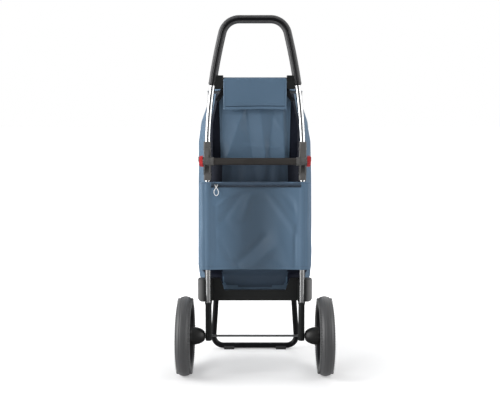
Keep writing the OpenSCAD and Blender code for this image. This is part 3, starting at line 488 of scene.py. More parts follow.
pin_low, pin_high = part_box("foot_pivot_pins")
foot_low, foot_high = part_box("foot_tube")
pivot_y, pivot_z = (pin_low.y + pin_high.y) / 2, (pin_low.z + pin_high.z) / 2
foot_radius, elbow, bend = 0.0085, 0.035, 0.030
reach_y, bar_z = foot_high.y - foot_radius, foot_low.z + foot_radius
splay, arm_x = math.radians(4), upright_x - 0.0135
leg_run = (pivot_z - bend * math.sin(splay) - bar_z - bend) / math.cos(splay)
corner_x = arm_x + leg_run * math.sin(splay) - bend * math.cos(splay)
down, across = np.array([math.sin(splay), 0, -math.cos(splay)]), np.array([0, 1.0, 0])
knee = np.array([arm_x, reach_y - elbow, pivot_z]) + elbow * down
turn = np.linspace(0, math.pi / 2, 14)[:, None]
arm = [(arm_x, pivot_y + 0.0091, pivot_z), (arm_x, (pivot_y + knee[1]) / 2, pivot_z)]
knee_arc = knee + elbow * (np.sin(turn) * across - np.cos(turn) * down)
swing = np.linspace(splay, -math.pi / 2, 14)[:, None]
foot_corner = np.array([corner_x, reach_y, bar_z + bend]) + bend * (
    np.cos(swing) * (1, 0, 0) + np.sin(swing) * (0, 0, 1))
half_foot = np.concatenate([arm, knee_arc, foot_corner])
foot_path = np.concatenate([half_foot, [(0, reach_y, bar_z)], half_foot[::-1] * (-1, 1, 1)])
foot = grown("foot_bow", [(foot_path, (0, 0, 1))], bent_tube, {"Radius": foot_radius},
             black_enamel)
settle(foot, "foot", "black_paint", "foot_tube")


def lathe(name, profile, centre, outward, sides, finish, closed=False):
    """A solid turned round the X axis. profile is (radius, distance outwards) pairs from
    one pole to the other; outward is 1 for the right-hand side and -1 for the left."""
    profile = np.asarray(profile, float)
    a = np.linspace(0, 2 * math.pi, sides, endpoint=False)
    rings = np.stack([
        np.broadcast_to(centre[0] + outward * profile[:, 1:], (len(profile), sides)),
        centre[1] + profile[:, :1] * np.cos(a), centre[2] + profile[:, :1] * np.sin(a)], -1)
    return skin(name, rings, finish, closed=closed)


for side, mark in ((-1, "left"), (1, "right")):
    eye_end = lathe("foot_eye_" + mark, [(0.0030, -0.0075), (0.0084, -0.0075), (0.0089, -0.0070),
        (0.0089, 0.0070), (0.0084, 0.0075), (0.0030, 0.0075)],
        (side * arm_x, pivot_y, pivot_z), side, 40, black_enamel)
    settle(eye_end, "foot", "black_paint")
    neck_line = [(side * arm_x, pivot_y + out, pivot_z) for out in (0.004, 0.012)]
    neck = skin("foot_neck_" + mark,
                tube_rings(neck_line, stadium(0.0095, 0.013, 28), (0, 0, 1)), black_enamel)
    settle(neck, "foot", "black_paint")
sole_rubber = moulded("sole_rubber", (0.030, 0.030, 0.031), (0.60, 0.72), 800.0, 0.0001)
coat(sole_rubber, "foot_pads")


# ---- Wheels ----
# Foamed rubber tyres with a rounded tread, on satin black nylon rims. A matt black dome
# closes each hub towards the frame, and a cap on the outside.
tyre_rubber, tree, shader, place, _ = blotched_finish(
    "tyre_rubber", (0.056, 0.057, 0.059), (0.42, 0.54), 26.0, 0.12, Sheen_Weight=0.15)
dust = add(tree, "ShaderNodeTexNoise", {"Vector": place, "Scale": 1300.0, "Detail": 3.0})
raised(tree, shader, dust.outputs["Fac"], 0.3, 0.0002)
rim_nylon = moulded("rim_nylon", (0.010, 0.010, 0.011), (0.36, 0.46), 800.0, 0.0001)
dome_nylon = moulded("dome_nylon", (0.008, 0.008, 0.008), (0.46, 0.56), 600.0, 0.00004)
bush_acetal = moulded("bush_acetal", (0.52, 0.50, 0.44), (0.40, 0.5), 500.0, 0.00004)

row_along, inlet = new_tree("row_along", ["Pitch", "Length", "Width", "Height"])
path = add(row_along, "GeometryNodeMeshToCurve", {"Mesh": inlet["Geometry"]})
spaced = add(row_along, "GeometryNodeResampleCurve", {"Curve": path.outputs[0],
    "Length": inlet["Pitch"]}, mode="LENGTH")
ahead = add(row_along, "GeometryNodeInputTangent", {})
outward = add(row_along, "GeometryNodeInputNamedAttribute", {"Name": "out"},
              data_type="FLOAT_VECTOR")
facing = add(row_along, "FunctionNodeAlignRotationToVector", {"Vector": ahead.outputs[0]},
             axis="X")
upright = add(row_along, "FunctionNodeAlignRotationToVector",
              {"Rotation": facing.outputs[0], "Vector": outward.outputs["Attribute"]},
              axis="Z", pivot_axis="X")
pill = add(row_along, "GeometryNodeMeshUVSphere", {"Segments": 8, "Rings": 5, "Radius": 0.5})
size = add(row_along, "ShaderNodeCombineXYZ", {"X": inlet["Length"], "Y": inlet["Width"],
    "Z": inlet["Height"]})
copies = add(row_along, "GeometryNodeInstanceOnPoints", {"Points": spaced.outputs[0],
    "Instance": pill.outputs["Mesh"], "Rotation": upright.outputs[0],
    "Scale": size.outputs[0]})
close_tree(row_along, copies.outputs[0], inlet["Finish"])

for side, mark in ((-1, "left"), (1, "right")):
    low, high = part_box("tyre_" + mark)
    hub = ((low.x + high.x) / 2, (low.y + high.y) / 2, (low.z + high.z) / 2)
    wheel_radius, half_tyre = (high.z - low.z) / 2, (high.x - low.x) / 2
    bead = wheel_radius - 0.024
    tread_from = bead + 0.003
    tread_tall = wheel_radius - tread_from
    profile = [(bead + 0.0002, -half_tyre + 0.001), (bead + 0.002, -half_tyre)]
    for a in np.linspace(-math.pi / 2, math.pi / 2, 41):
        across_tread = math.copysign(abs(math.sin(a)) ** 0.86, a)
        profile.append((tread_from + tread_tall * math.cos(a) ** 0.80, half_tyre * across_tread))
    profile += [(bead + 0.002, half_tyre), (bead + 0.0002, half_tyre - 0.001)]
    groove = [(r - 0.0007 * sum(math.exp(-((x - g) / 0.0010) ** 2) for g in (-0.0065, 0.0065))
               if abs(x) < 0.012 else r, x) for r, x in profile]
    fine = smooth_line(np.array([(r, 0, x) for r, x in groove]), 110)[:, (0, 2)]
    tyre = lathe("tyre_tread_" + mark, fine, hub, side, 128, tyre_rubber, closed=True)
    settle(tyre, "wheel_" + mark, "tyre_rubber", "tyre_" + mark)
    rib_radius = tread_from + tread_tall * 0.70
    shoulder = []
    for offset in (-0.0150, 0.0150):
        ends = np.array([(hub[0] + offset - 0.003, 0, 0), (hub[0] + offset + 0.003, 0, 0)])
        for a in np.linspace(0, 2 * math.pi, 181)[:-1:2]:
            at = (0, hub[1] + rib_radius * math.cos(a), hub[2] + rib_radius * math.sin(a))
            shoulder.append((ends + at, (0, math.cos(a), math.sin(a))))
    blocks = grown("tyre_ribs_" + mark, shoulder, row_along,
                   {"Pitch": 1.0, "Length": 0.006, "Width": 0.0030, "Height": 0.0016},
                   tyre_rubber)
    settle(blocks, "wheel_" + mark, "tyre_rubber")
    dome_low, dome_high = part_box("hub_dome_" + mark)
    dome_radius, dome_long = (dome_high.z - dome_low.z) / 2, dome_high.x - dome_low.x
    base = side * ((dome_high.x if side > 0 else dome_low.x) - hub[0])
    a = np.linspace(0, math.pi / 2, 26)
    curve = [(0.0037, base), (dome_radius - 0.001, base), (dome_radius, base - 0.001)]
    curve += [(0.0070 + (dome_radius - 0.0070) * math.cos(t),
               base - 0.001 - (dome_long - 0.001) * math.sin(t)) for t in a[1:]]
    curve += [(0.0037, base - dome_long)]
    dome = lathe("hub_dome_shell_" + mark, curve[::-1], hub, side, 72, dome_nylon)
    settle(dome, "wheel_" + mark, "gloss_black_plastic", "hub_dome_" + mark)
    coat(rim_nylon, "rim_" + mark, "hub_cap_" + mark)
    coat(bush_acetal, "bush_" + mark)


# ---- Bag ----
# A soft lined shell of coated polyester, sewn from a blue front and sides and a navy rear
# wall. Where the rear wall shows above the pocket and in the notch, it is a darker blue
# that is painted shade, and its navy beside the uprights and at the lower back corners is
# painted shade as well. It stands on the foot's shelf and is held to the frame by the pocket.
def multiplied(tree, shader, colour, factor):
    """Gives a finish the colour times the factor."""
    product = add(tree, "ShaderNodeMix", {0: 1.0, 6: colour, 7: factor}, data_type="RGBA",
                  blend_type="MULTIPLY")
    tree.links.new(product.outputs[2], shader.inputs["Base Color"])


def woven(name, colour, pitch, roughness, **values):
    """A woven cloth: threads of the given pitch over and under, on the piece's own UVs."""
    made, tree, shader = new_finish(name, colour, roughness, **values)
    on_cloth = add(tree, "ShaderNodeUVMap", {}, uv_map="metres").outputs["UV"]
    threads = [add(tree, "ShaderNodeTexWave", {"Vector": on_cloth,
        "Scale": math.pi / (10 * pitch), "Distortion": 0.6, "Detail": 1.0},
        bands_direction=axis) for axis in ("X", "Y")]
    weave = add(tree, "ShaderNodeMath", {0: threads[0].outputs["Fac"],
        1: threads[1].outputs["Fac"]}, operation="MULTIPLY")
    raised(tree, shader, weave.outputs[0], 0.45, pitch / 6)
    tone = blotched(tree, shader, colour, on_cloth, 9.0, 0.07,
                    (roughness - 0.05, roughness + 0.05))
    shadow = add(tree, "ShaderNodeMapRange", {"Value": weave.outputs[0], "To Min": 0.90,
        "To Max": 1.06})
    multiplied(tree, shader, tone, shadow.outputs["Result"])
    return made


blue_cloth = woven("blue_cloth", (0.075, 0.137, 0.212), 0.0007, 0.55, Sheen_Weight=0.12)
# The navy cloth is a dark navy. Its darkness on the rear wall beside the uprights, on the gussets,
# at the lower back corners and on the pocket's base is painted shade.
navy_and_shade_cloth = woven("navy_and_shade_cloth", (0.0075, 0.0105, 0.022), 0.0007, 0.66,
                   Specular_IOR_Level=0.2)
# The shaded cloth is a darker blue. On the bag's rear wall it is painted shade.
shaded_cloth = woven("shaded_cloth", (0.040, 0.070, 0.112), 0.0007, 0.62)
lining = woven("lining", (0.10, 0.105, 0.11), 0.0005, 0.65)

lower_low, lower_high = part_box("bag_lower")
upper_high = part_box("bag_upper")[1]
pocket_low, pocket_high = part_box("rear_pocket")
panel_low, panel_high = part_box("back_panel")
member_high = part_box("base_crossmember")[1]
cloth = 0.0016
bag_wide, mouth_z, base_z = lower_high.x, upper_high.z, lower_low.z
panel_wide = panel_high.x
mouth_wide = panel_wide + 0.020
front_y = lower_high.y
back_y = middle_y + 0.016
ring_count = 220
fold_scale = 0.9


def squarish(c):
    """Fills out a circle's sine or cosine towards a square's corners."""
    return np.sign(c) * np.abs(c) ** 0.45


def bag_outline(z, grow=0.0, shrink=1.0):
    """The bag's closed outline at height z, evenly spaced from the middle of its back."""
    half = grow + np.interp(z, [base_z, base_z + 0.018, base_z + 0.060, joint_z - 0.050,
        joint_z + 0.050, mouth_z - 0.085, mouth_z - 0.040, mouth_z],
        [bag_wide - 0.022, bag_wide - 0.004, bag_wide, bag_wide - 0.003, bag_wide - 0.006,
         bag_wide - 0.016, mouth_wide + 0.014, mouth_wide])
    rear = grow + np.interp(z, [pocket_low.z, pocket_high.z - 0.060, joint_z],
        [pocket_high.x - 0.020, pocket_high.x - 0.020, panel_wide + 0.002])
    inset = np.interp(z, [base_z, base_z + 0.018, base_z + 0.060], [0.014, 0.002, 0])
    y0 = inset - grow + np.interp(z, [member_high.z + 0.004, member_high.z + 0.030],
                                  [member_high.y - 0.0012, back_y])
    if z < member_high.z + 0.030:
        y0 = max(y0, middle_y + 0.016)
    y1 = front_y - inset + grow
    a = np.linspace(-math.pi / 2, 1.5 * math.pi, 1601)
    y = (y0 + y1) / 2 + (y1 - y0) / 2 * squarish(np.sin(a))
    f = np.minimum(1, (y - y0) / 0.070)
    rear_share = min(rear, half) / half
    share = rear_share + (1 - rear_share) * f * (2 - f)
    x = half * squarish(np.cos(a)) * np.minimum(1, share)
    mid = (y0 + y1) / 2
    x, y = x * shrink, mid + (y - mid) * shrink
    along = np.concatenate([[0], np.hypot(np.diff(x), np.diff(y)).cumsum()])
    even = np.linspace(0, along[-1], ring_count, endpoint=False)
    return np.stack([np.interp(even, along, x), np.interp(even, along, y),
                     np.full(ring_count, float(z))], 1)


def creased(u, v, creases):
    """The sum of soft creases at (u, v). Each is (u0, v0, u1, v1, height, width)."""
    total = np.zeros(np.broadcast(u, v).shape)
    for u0, v0, u1, v1, height, width in creases:
        du, dv = u1 - u0, v1 - v0
        t = np.clip(((u - u0) * du + (v - v0) * dv) / (du * du + dv * dv + 1e-12), 0, 1)
        off = np.hypot(u - u0 - t * du, v - v0 - t * dv)
        fading = 0.25 + 0.75 * np.sin(math.pi * (0.15 + 0.7 * t))
        total += height * np.exp(-(off / width) ** 2) * fading
    return total


def folded(rings, creases, room=0.0045):
    """Pushes a bag shell's rings in and out along creases, and keeps its back flat."""
    ahead = np.roll(rings, -1, 1) - np.roll(rings, 1, 1)
    out = np.stack([ahead[..., 1], -ahead[..., 0], 0 * ahead[..., 0]], -1)
    out /= np.linalg.norm(out, axis=2)[..., None] + 1e-9
    around = np.broadcast_to(np.arange(ring_count) / ring_count, rings.shape[:2])
    push = creased(around, rings[..., 2] * fold_scale, creases)
    near_back = np.clip((rings[..., 1] - back_y - 0.004) / 0.040, 0.0, 1)
    flutes = [(-0.085, 0.52, -0.078, 0.62, -0.0030, 0.010),
        (-0.045, 0.52, -0.052, 0.62, -0.0040, 0.013), (0.004, 0.52, -0.006, 0.62, -0.0035, 0.012),
        (0.036, 0.52, 0.047, 0.62, -0.0040, 0.012), (0.080, 0.52, 0.074, 0.62, -0.0030, 0.010),
        (-0.06, 0.285, 0.05, 0.262, -0.0040, 0.010), (0.02, 0.240, 0.07, 0.272, -0.0035, 0.011),
        (-0.05, 0.250, 0.0, 0.268, -0.0030, 0.012)]
    flat_back = np.clip((back_y + 0.006 - rings[..., 1]) / 0.004, 0, 1)
    flat_back = flat_back * np.clip((0.105 - np.abs(rings[..., 0])) / 0.02, 0, 1)
    push = push * near_back + flat_back * creased(rings[..., 0], rings[..., 2], flutes)
    push = np.clip(push, -0.008, room)
    return rings + out * push[..., None]


dice = np.random.default_rng(7)
side_creases = []
for _ in range(46):
    u, v = dice.uniform(0.10, 0.90), dice.uniform(0.24, 0.70)
    lean_u, tall = dice.normal(0, 0.022), dice.uniform(0.04, 0.16)
    side_creases.append((u, v, u + lean_u, v + tall, dice.uniform(-0.0034, 0.0030),
                         dice.uniform(0.006, 0.017)))
for k, u in enumerate(np.linspace(0.14, 0.86, 17)):
    foot_v, mouth_v = base_z * fold_scale, mouth_z * fold_scale
    side_creases.append((u, foot_v, u + dice.normal(0, 0.01), foot_v + 0.05,
                         -0.0030 if k % 2 else 0.0022, 0.010))
    side_creases.append((u, mouth_v, u + dice.normal(0, 0.012), mouth_v - 0.09,
                         -0.0034 if k % 2 else 0.0020, 0.009))


def applied(piece, *modifiers):
    """Adds modifiers, given as (kind, settings), and keeps their result as a plain mesh."""
    for kind, settings in modifiers:
        modifier = piece.modifiers.new(kind.lower(), kind)
        for key, value in settings.items():
            setattr(modifier, key, value)
    seen = piece.evaluated_get(bpy.context.evaluated_depsgraph_get())
    mesh = bpy.data.meshes.new_from_object(seen)
    piece.modifiers.clear()
    piece.data = mesh
    return piece


def walled(inside):
    """The cloth's wall, for applied. Its inside finish lies inside places further on."""
    return ("SOLIDIFY", {"thickness": cloth, "offset": -1.0, "material_offset": inside,
                         "use_even_offset": False})


low_heights = np.unique(np.concatenate([base_z + np.array([0, 0.0015, 0.004, 0.007, 0.011]),
    np.linspace(base_z + 0.016, joint_z, 92)]))
low_rings = folded(np.array([bag_outline(z) for z in low_heights]), side_creases)
floor_rings = np.array([bag_outline(base_z, shrink=shrink)
                        for shrink in (0.001, 0.3, 0.6, 0.85, 0.96)])
bag_rings = np.concatenate([floor_rings, low_rings])
floor_sag, sag_tall = 0.0105, 0.040
between_arms = np.clip((0.098 - np.abs(bag_rings[..., 0])) / 0.020, 0, 1)
low_down = np.clip((base_z + sag_tall - bag_rings[..., 2]) / sag_tall, 0, 1)
bag_rings[..., 2] -= floor_sag * between_arms * low_down
bag_cloths = (blue_cloth, navy_and_shade_cloth, shaded_cloth, lining, lining, lining)
bag_body = skin("bag_body", bag_rings, *bag_cloths, ends=False)
up_heights = np.concatenate([np.linspace(joint_z, mouth_z - 0.1, 34)[:-1],
                             np.linspace(mouth_z - 0.1, mouth_z, 30)])
up_rings = folded(np.array([bag_outline(z) for z in up_heights]), side_creases)
bag_top = skin("bag_top", up_rings, *bag_cloths, ends=False)
blue, navy, shaded = 0, 1, 2
wall_deep, corner_deep, notch_half = 0.030, 0.055, 0.092
pocket_foot = pocket_low.z + 0.012
# Rear-wall faces that show above the pocket and in the notch under it get the shaded cloth as
# painted shade. The rest of the wall and the lower back corners get the navy cloth, whose darkness
# where it shows is painted shade.
for shell in (bag_body, bag_top):
    for face in shell.data.polygons:
        c = face.center
        wall_half = upright_x + 0.004 if c.z > member_high.z + 0.02 else panel_wide
        wall = c.y < back_y + wall_deep and abs(c.x) < wall_half
        above_pocket = abs(c.x) < panel_wide - 0.006 and c.z > joint_z - 0.070
        in_notch = c.z < pocket_foot and abs(c.x) < notch_half
        corner = c.z < pocket_foot and abs(c.x) > notch_half and c.y < back_y + corner_deep
        if wall and (above_pocket or in_notch):
            face.material_index = shaded
        else:
            face.material_index = navy if wall or corner else blue
    normals_out = sum(face.normal.x * face.center.x for face in shell.data.polygons)
    if normals_out < 0:
        shell.data.flip_normals()
    applied(shell, walled(3))
settle(bag_body, "root", "blue_fabric", "bag_lower")
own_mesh(bag_body)
settle(bag_top, "root", "blue_fabric", "bag_upper")
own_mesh(bag_top)


# ---- Bindings and seams of the bag ----
# A folded webbing tape covers the seam round the bag's waist, piping stiffens the mouth
# and the upright corners, and every tape is sewn down along both edges.
navy_webbing = woven("navy_webbing", (0.010, 0.013, 0.021), 0.0012, 0.62, Sheen_Weight=0.2)
thread = blotched_finish("thread", (0.045, 0.072, 0.105), (0.6, 0.8), 600.0, 0.2,
                         Sheen_Weight=0.2)[0]


def ribbon(name, line, outs, width, thick, closed, finish):
    """A flat tape along a line, lying square to the outward directions."""
    line, outs = np.asarray(line, float), np.asarray(outs, float)
    if closed:
        ahead = np.roll(line, -1, 0) - np.roll(line, 1, 0)
    else:
        ahead = np.gradient(line, axis=0)
    ahead /= np.linalg.norm(ahead, axis=1)[:, None]
    across_it = np.cross(outs, ahead)
    across_it /= np.linalg.norm(across_it, axis=1)[:, None]
    w, t = width / 2, thick / 2
    shape = np.array([(-w, 0), (-w + t, -t), (-w / 3, -t), (w / 3, -t), (w - t, -t), (w, 0),
                      (w - t, t), (w / 3, t), (-w / 3, t), (-w + t, t)])
    rings = (line[:, None] + shape[None, :, :1] * across_it[:, None]
             + shape[None, :, 1:] * outs[:, None])
    return skin(name, rings, finish, closed=closed)


def outward_of(line, closed=True):
    """Level directions pointing out of an outline, or off an open line."""
    ahead = np.roll(line, -1, 0) - np.roll(line, 1, 0) if closed else np.gradient(line, axis=0)
    out = np.stack([ahead[:, 1], -ahead[:, 0], 0 * ahead[:, 0]], 1)
    return out / np.linalg.norm(out, axis=1)[:, None]


def sewn(name, lines, body, finish=thread, pitch=0.0042, long=0.0030, thick=0.0007):
    """Rows of stitches along lines of (points, outward directions)."""
    rows = grown(name, lines, row_along, {"Pitch": pitch, "Length": long, "Width": thick,
        "Height": thick}, finish)
    settle(rows, body, "navy_webbing")
    return rows


def at_height(rings, z):
    """One ring of a shell, at height z between its own rings."""
    k = int(np.clip(np.searchsorted(rings[:, 0, 2], z), 1, len(rings) - 1))
    t = (z - rings[k - 1, 0, 2]) / (rings[k, 0, 2] - rings[k - 1, 0, 2])
    return rings[k - 1] * (1 - t) + rings[k] * t


waist = at_height(up_rings, joint_z)
waist_out = outward_of(waist)
waist_tape = ribbon("waist_tape", waist + 0.0006 * waist_out, waist_out, 0.014, 0.0014, True,
                    navy_webbing)
settle(waist_tape, "root", "navy_webbing")
sewn("waist_stitches", [(waist + (0, 0, dz) + 0.0014 * waist_out, waist_out)
                        for dz in (-0.0052, 0.0052)], "root")
rim = at_height(up_rings, mouth_z - 0.004)
rim_out = outward_of(rim)
mouth_tape = ribbon("mouth_tape", rim + 0.0004 * rim_out, rim_out, 0.009, 0.0014, True,
                    navy_webbing)
settle(mouth_tape, "root", "navy_webbing")
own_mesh(mouth_tape)
for part, rings, joint, keep in (("body", low_rings[8:], "foot_fold", 0.45),
                                 ("top", up_rings[:-3], "frame_fold", 0.3)):
    stitch_lines = []
    for mark, share in (("left", 0.362), ("right", 0.638)):
        k = int(share * ring_count)
        out = np.array([outward_of(ring)[k] for ring in rings])
        cord_path = rings[:, k] + 0.0009 * out
        piping = skin(f"{part}_piping_{mark}",
                      tube_rings(cord_path, round_outline(0.0016, 10), out[0]), navy_webbing)
        settle(piping, "root", "navy_webbing")
        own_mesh(piping)
        k += 1 if share < 0.5 else -1
        stitch_lines.append((rings[:, k] + 0.0003 * out, out))
    seams = sewn(f"{part}_seam_stitches", stitch_lines, "root")
    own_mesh(seams)


# ---- Lid ----
# A shallow cap of the same blue cloth over a thin foam, sewn to the bag's back edge. Its
# skirt goes down over the mouth and carries a taped hem.
lid_low, lid_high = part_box("lid")
lid_back = lid_low.y
crown = lid_high.z - mouth_z
steps = [(mouth_z + (lid_low.z - mouth_z) * t, 0.0036, 1.0) for t in np.linspace(1, 0.1, 12)]
steps += [(mouth_z, 0.0034, 1.0), (mouth_z + 0.13 * crown, 0.0036, 0.993)]
for shrink in np.linspace(0.975, 0.001, 26):
    rise_share = np.interp(1 - shrink, [0.0, 0.03, 0.20, 0.50, 0.85, 1.0],
                           [0.1, 0.33, 0.64, 0.88, 0.985, 1.0])
    steps.append((mouth_z + crown * rise_share - 0.0004, 0.0036, shrink))
skirt_from, below_skirt = lid_back + 0.084, 0.2
lid_rings = []
for z, grow, shrink in steps:
    ring = bag_outline(min(z, mouth_z), grow, shrink)
    ring[:, 2] = z
    ring[:, 1] = np.maximum(ring[:, 1], lid_back + 0.0005)
    hinged = np.clip((skirt_from - ring[:, 1]) / 0.004, 0, 1)
    ring[:, 2] = np.maximum(z, mouth_z + 0.0008 - (1 - hinged) * below_skirt)
    lid_rings.append(ring)
lid_rings = np.array(lid_rings)
ripple = creased(lid_rings[..., 0], lid_rings[..., 1],
    [(-0.09, 0.06, -0.02, 0.12, -0.0016, 0.014), (0.03, 0.0, 0.09, 0.08, -0.0016, 0.012),
     (0.0, 0.10, 0.07, 0.15, -0.0014, 0.012)])
lid_rings[..., 2] += ripple * (lid_rings[..., 2] > mouth_z)
lid_shell = skin("lid_cap", lid_rings, blue_cloth, navy_and_shade_cloth, lining, lining, ends=False)
if sum(face.normal.z * face.area for face in lid_shell.data.polygons) < 0:
    lid_shell.data.flip_normals()
applied(lid_shell, walled(2))
settle(lid_shell, "lid", "blue_fabric", "lid")
hem = lid_rings[1].copy()
in_front = hem[:, 1] > skirt_from + 0.0015
order = np.flatnonzero(in_front)
hem_out = outward_of(hem)[order]
hem = hem[order]
hem_tape = ribbon("lid_hem", hem + (0, 0, 0.004) + 0.0006 * hem_out, hem_out, 0.011, 0.0014,
                  False, navy_webbing)
settle(hem_tape, "lid", "navy_webbing")
hem_rows = sewn("lid_stitches", [(hem + (0, 0, 0.0075) + 0.0014 * hem_out, hem_out)], "lid")
crown_edge = 13
edge_line = lid_rings[crown_edge][order] + (0, 0, 0.0006)
edge_cord = skin("lid_piping", tube_rings(edge_line, round_outline(0.0015, 10), (0, 0, 1)),
                 navy_webbing)
settle(edge_cord, "lid", "navy_webbing")
for piece in (lid_shell, hem_tape, hem_rows, edge_cord):
    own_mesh(piece)


# ---- Closing strap and buckle ----
# Navy webbing on the bag's front with a side-release buckle of black acetal: the plug
# hangs from the lid's strap, the socket is sewn to the bag.
def from_cad(name, node, width, finish):
    """A copy of a CAD node with small rounded edges, as the moulding has."""
    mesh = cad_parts[node].data.copy()
    piece = bpy.data.objects.new(name, mesh)
    bpy.context.scene.collection.objects.link(piece)
    mesh.materials.clear()
    mesh.materials.append(finish)
    applied(piece, ("WELD", {"merge_threshold": 0.00001}))
    applied(piece, ("DECIMATE", {"decimate_type": "DISSOLVE", "angle_limit": 0.02}),
            ("BEVEL", {"width": width, "segments": 2, "limit_method": "ANGLE",
                       "angle_limit": math.radians(40), "use_clamp_overlap": True}))
    piece.data.polygons.foreach_set("use_smooth", [False] * len(piece.data.polygons))
    return piece


acetal_black = moulded("acetal_black", (0.024, 0.024, 0.025), (0.34, 0.44), 700.0, 0.00005)
plug = from_cad("buckle_tongue", "buckle_plug", 0.0006, acetal_black)
settle(plug, "lid", "black_plastic", "buckle_plug")
socket = from_cad("buckle_body", "buckle_socket", 0.0006, acetal_black)
settle(socket, "root", "black_plastic", "buckle_socket")
straps = []
for name, node, body in (("closing_strap", "lid_strap", "lid"),
                         ("socket_strap", "front_strap", "root")):
    low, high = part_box(node)
    y = (low.y + high.y) / 2
    line = np.stack([np.zeros(40), np.full(40, y), np.linspace(low.z, high.z, 40)], 1)
    if node == "lid_strap":
        line[:, 1] += 0.0012 * np.sin(np.linspace(0, math.pi, 40))
    strap = ribbon(name, line, np.tile((0, 1.0, 0), (40, 1)), high.x - low.x, high.y - low.y,
                   False, navy_webbing)
    settle(strap, body, "navy_webbing", node)
    rows = sewn(name + "_stitches", [(line[2:-2] + (dx, (high.y - low.y) / 2, 0),
        (0, 1.0, 0)) for dx in (-0.0105, 0.0105)], body)
    straps += [strap, rows]
for piece in (plug, socket, *straps):
    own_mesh(piece)


# ---- Back panel ----
# A loose panel of the blue cloth between the upper uprights. It is sewn to the upper
# frame's straps, carries the hanging flap's weight and lies in long triangular folds.
def gather_rows(u, v, lines):
    """Heights over a grid from fold lines, each (v0, u at v0, v1, u at v1, height)."""
    heights = np.array([line[4] for line in lines])
    result = np.zeros(u.shape)
    for i in range(u.shape[0]):
        at = [u0 + (u1 - u0) * np.clip((v[i, 0] - v0) / (v1 - v0), -0.2, 1.2)
              for v0, u0, v1, u1, _ in lines]
        result[i] = np.interp(u[i], at, heights)
    return result


def softened(height, times):
    """Rounds the sharp folds of a grid of heights."""
    for _ in range(times):
        wide = np.pad(height, 1, mode="edge")
        height = (wide[1:-1, :-2] + 2 * wide[1:-1, 1:-1] + wide[1:-1, 2:]) / 4
        wide = np.pad(height, 1, mode="edge")
        height = (wide[:-2, 1:-1] + 2 * wide[1:-1, 1:-1] + wide[2:, 1:-1]) / 4
    return height


def thickened(piece, thick):
    """Gives a one-sided sheet its cloth's thickness."""
    return applied(piece, ("SOLIDIFY", {"thickness": thick, "offset": 0.0,
                                        "use_even_offset": False}))


panel_tall = panel_high.z - panel_low.z
v, u = np.meshgrid(np.linspace(0, 1, 120), np.linspace(-1, 1, 150), indexing="ij")
panel_z = panel_low.z + panel_tall * v
edge = panel_wide - 0.004 * (1 - v) - 0.012 * np.clip((v - 0.93) / 0.07, 0, 1)
panel_x = u * edge
top_z, low_z = 0.727, 0.619
folds = [(top_z, -0.098, low_z, -0.096, 0.0005), (top_z, -0.080, low_z, -0.088, 0.0022),
    (top_z, -0.033, low_z, -0.073, 0.0085), (top_z, -0.024, low_z, -0.008, 0.0),
    (top_z, 0.014, low_z, 0.029, 0.0070), (top_z, 0.050, low_z, 0.037, 0.0005),
    (top_z, 0.076, low_z, 0.082, 0.0065), (top_z, 0.084, low_z, 0.089, 0.0012),
    (top_z, 0.098, low_z, 0.097, 0.0004)]
bulge = softened(gather_rows(panel_x, panel_z, folds), 5)
bulge += creased(panel_x, panel_z, [(-0.05, 0.70, -0.02, 0.66, 0.0012, 0.010),
    (0.03, 0.655, 0.07, 0.63, -0.0012, 0.008), (-0.09, 0.66, -0.06, 0.625, 0.0010, 0.008),
    (-0.03, 0.640, 0.06, 0.634, 0.0010, 0.006), (0.05, 0.72, 0.07, 0.69, 0.0010, 0.008)])
bulge *= np.clip((0.765 - panel_z) / 0.04, 0.15, 1) * np.clip((1 - np.abs(u)) / 0.06, 0, 1)
panel_y = panel_high.y - 0.0016 - bulge
panel_grid = np.stack([panel_x, panel_y, panel_z], -1)
panel = skin("back_cloth", panel_grid, blue_cloth, around=False)
thickened(panel, thick=0.0014)
settle(panel, "upper_frame", "blue_fabric", "back_panel")
hem_lines = []
for edge_u in (4, -5):
    hem_lines.append((panel_grid[2:-2, edge_u] - (0, 0.0008, 0), (0, -1.0, 0)))
sewn("panel_stitches", hem_lines, "upper_frame")


# ---- Side gussets behind the uprights ----
# Navy cloth strips, sewn to the back panel's edges, that close the gap to the bag's rear
# wall. Their darkness is painted shade where they recede behind the uprights. Their upper
# ends are gathered under the top brackets.
t, s = np.meshgrid(np.linspace(0, 1, 70), np.linspace(0, 1, 14), indexing="ij")
gathered = 0.017 * np.clip((t - 0.55) / 0.45, 0, 1)
inner = panel_wide - 0.006
outer = inner + (upright_x - 0.0115 - inner - gathered) * 0.92
gusset_x = inner + (outer - inner) * s
gusset_y = panel_high.y - 0.0006 + 0.0018 * s + 0.00036 * np.sin(s * 5 + t * 9)
gusset_z = panel_low.z + 0.001 + (panel_high.z - 0.016 - panel_low.z) * t - 0.006 * s * t
for side, mark in ((-1, "left"), (1, "right")):
    gusset = skin("gusset_" + mark, np.stack([side * gusset_x, gusset_y, gusset_z], -1),
                  navy_and_shade_cloth, around=False)
    thickened(gusset, thick=0.0010)
    settle(gusset, "upper_frame", "navy_webbing")


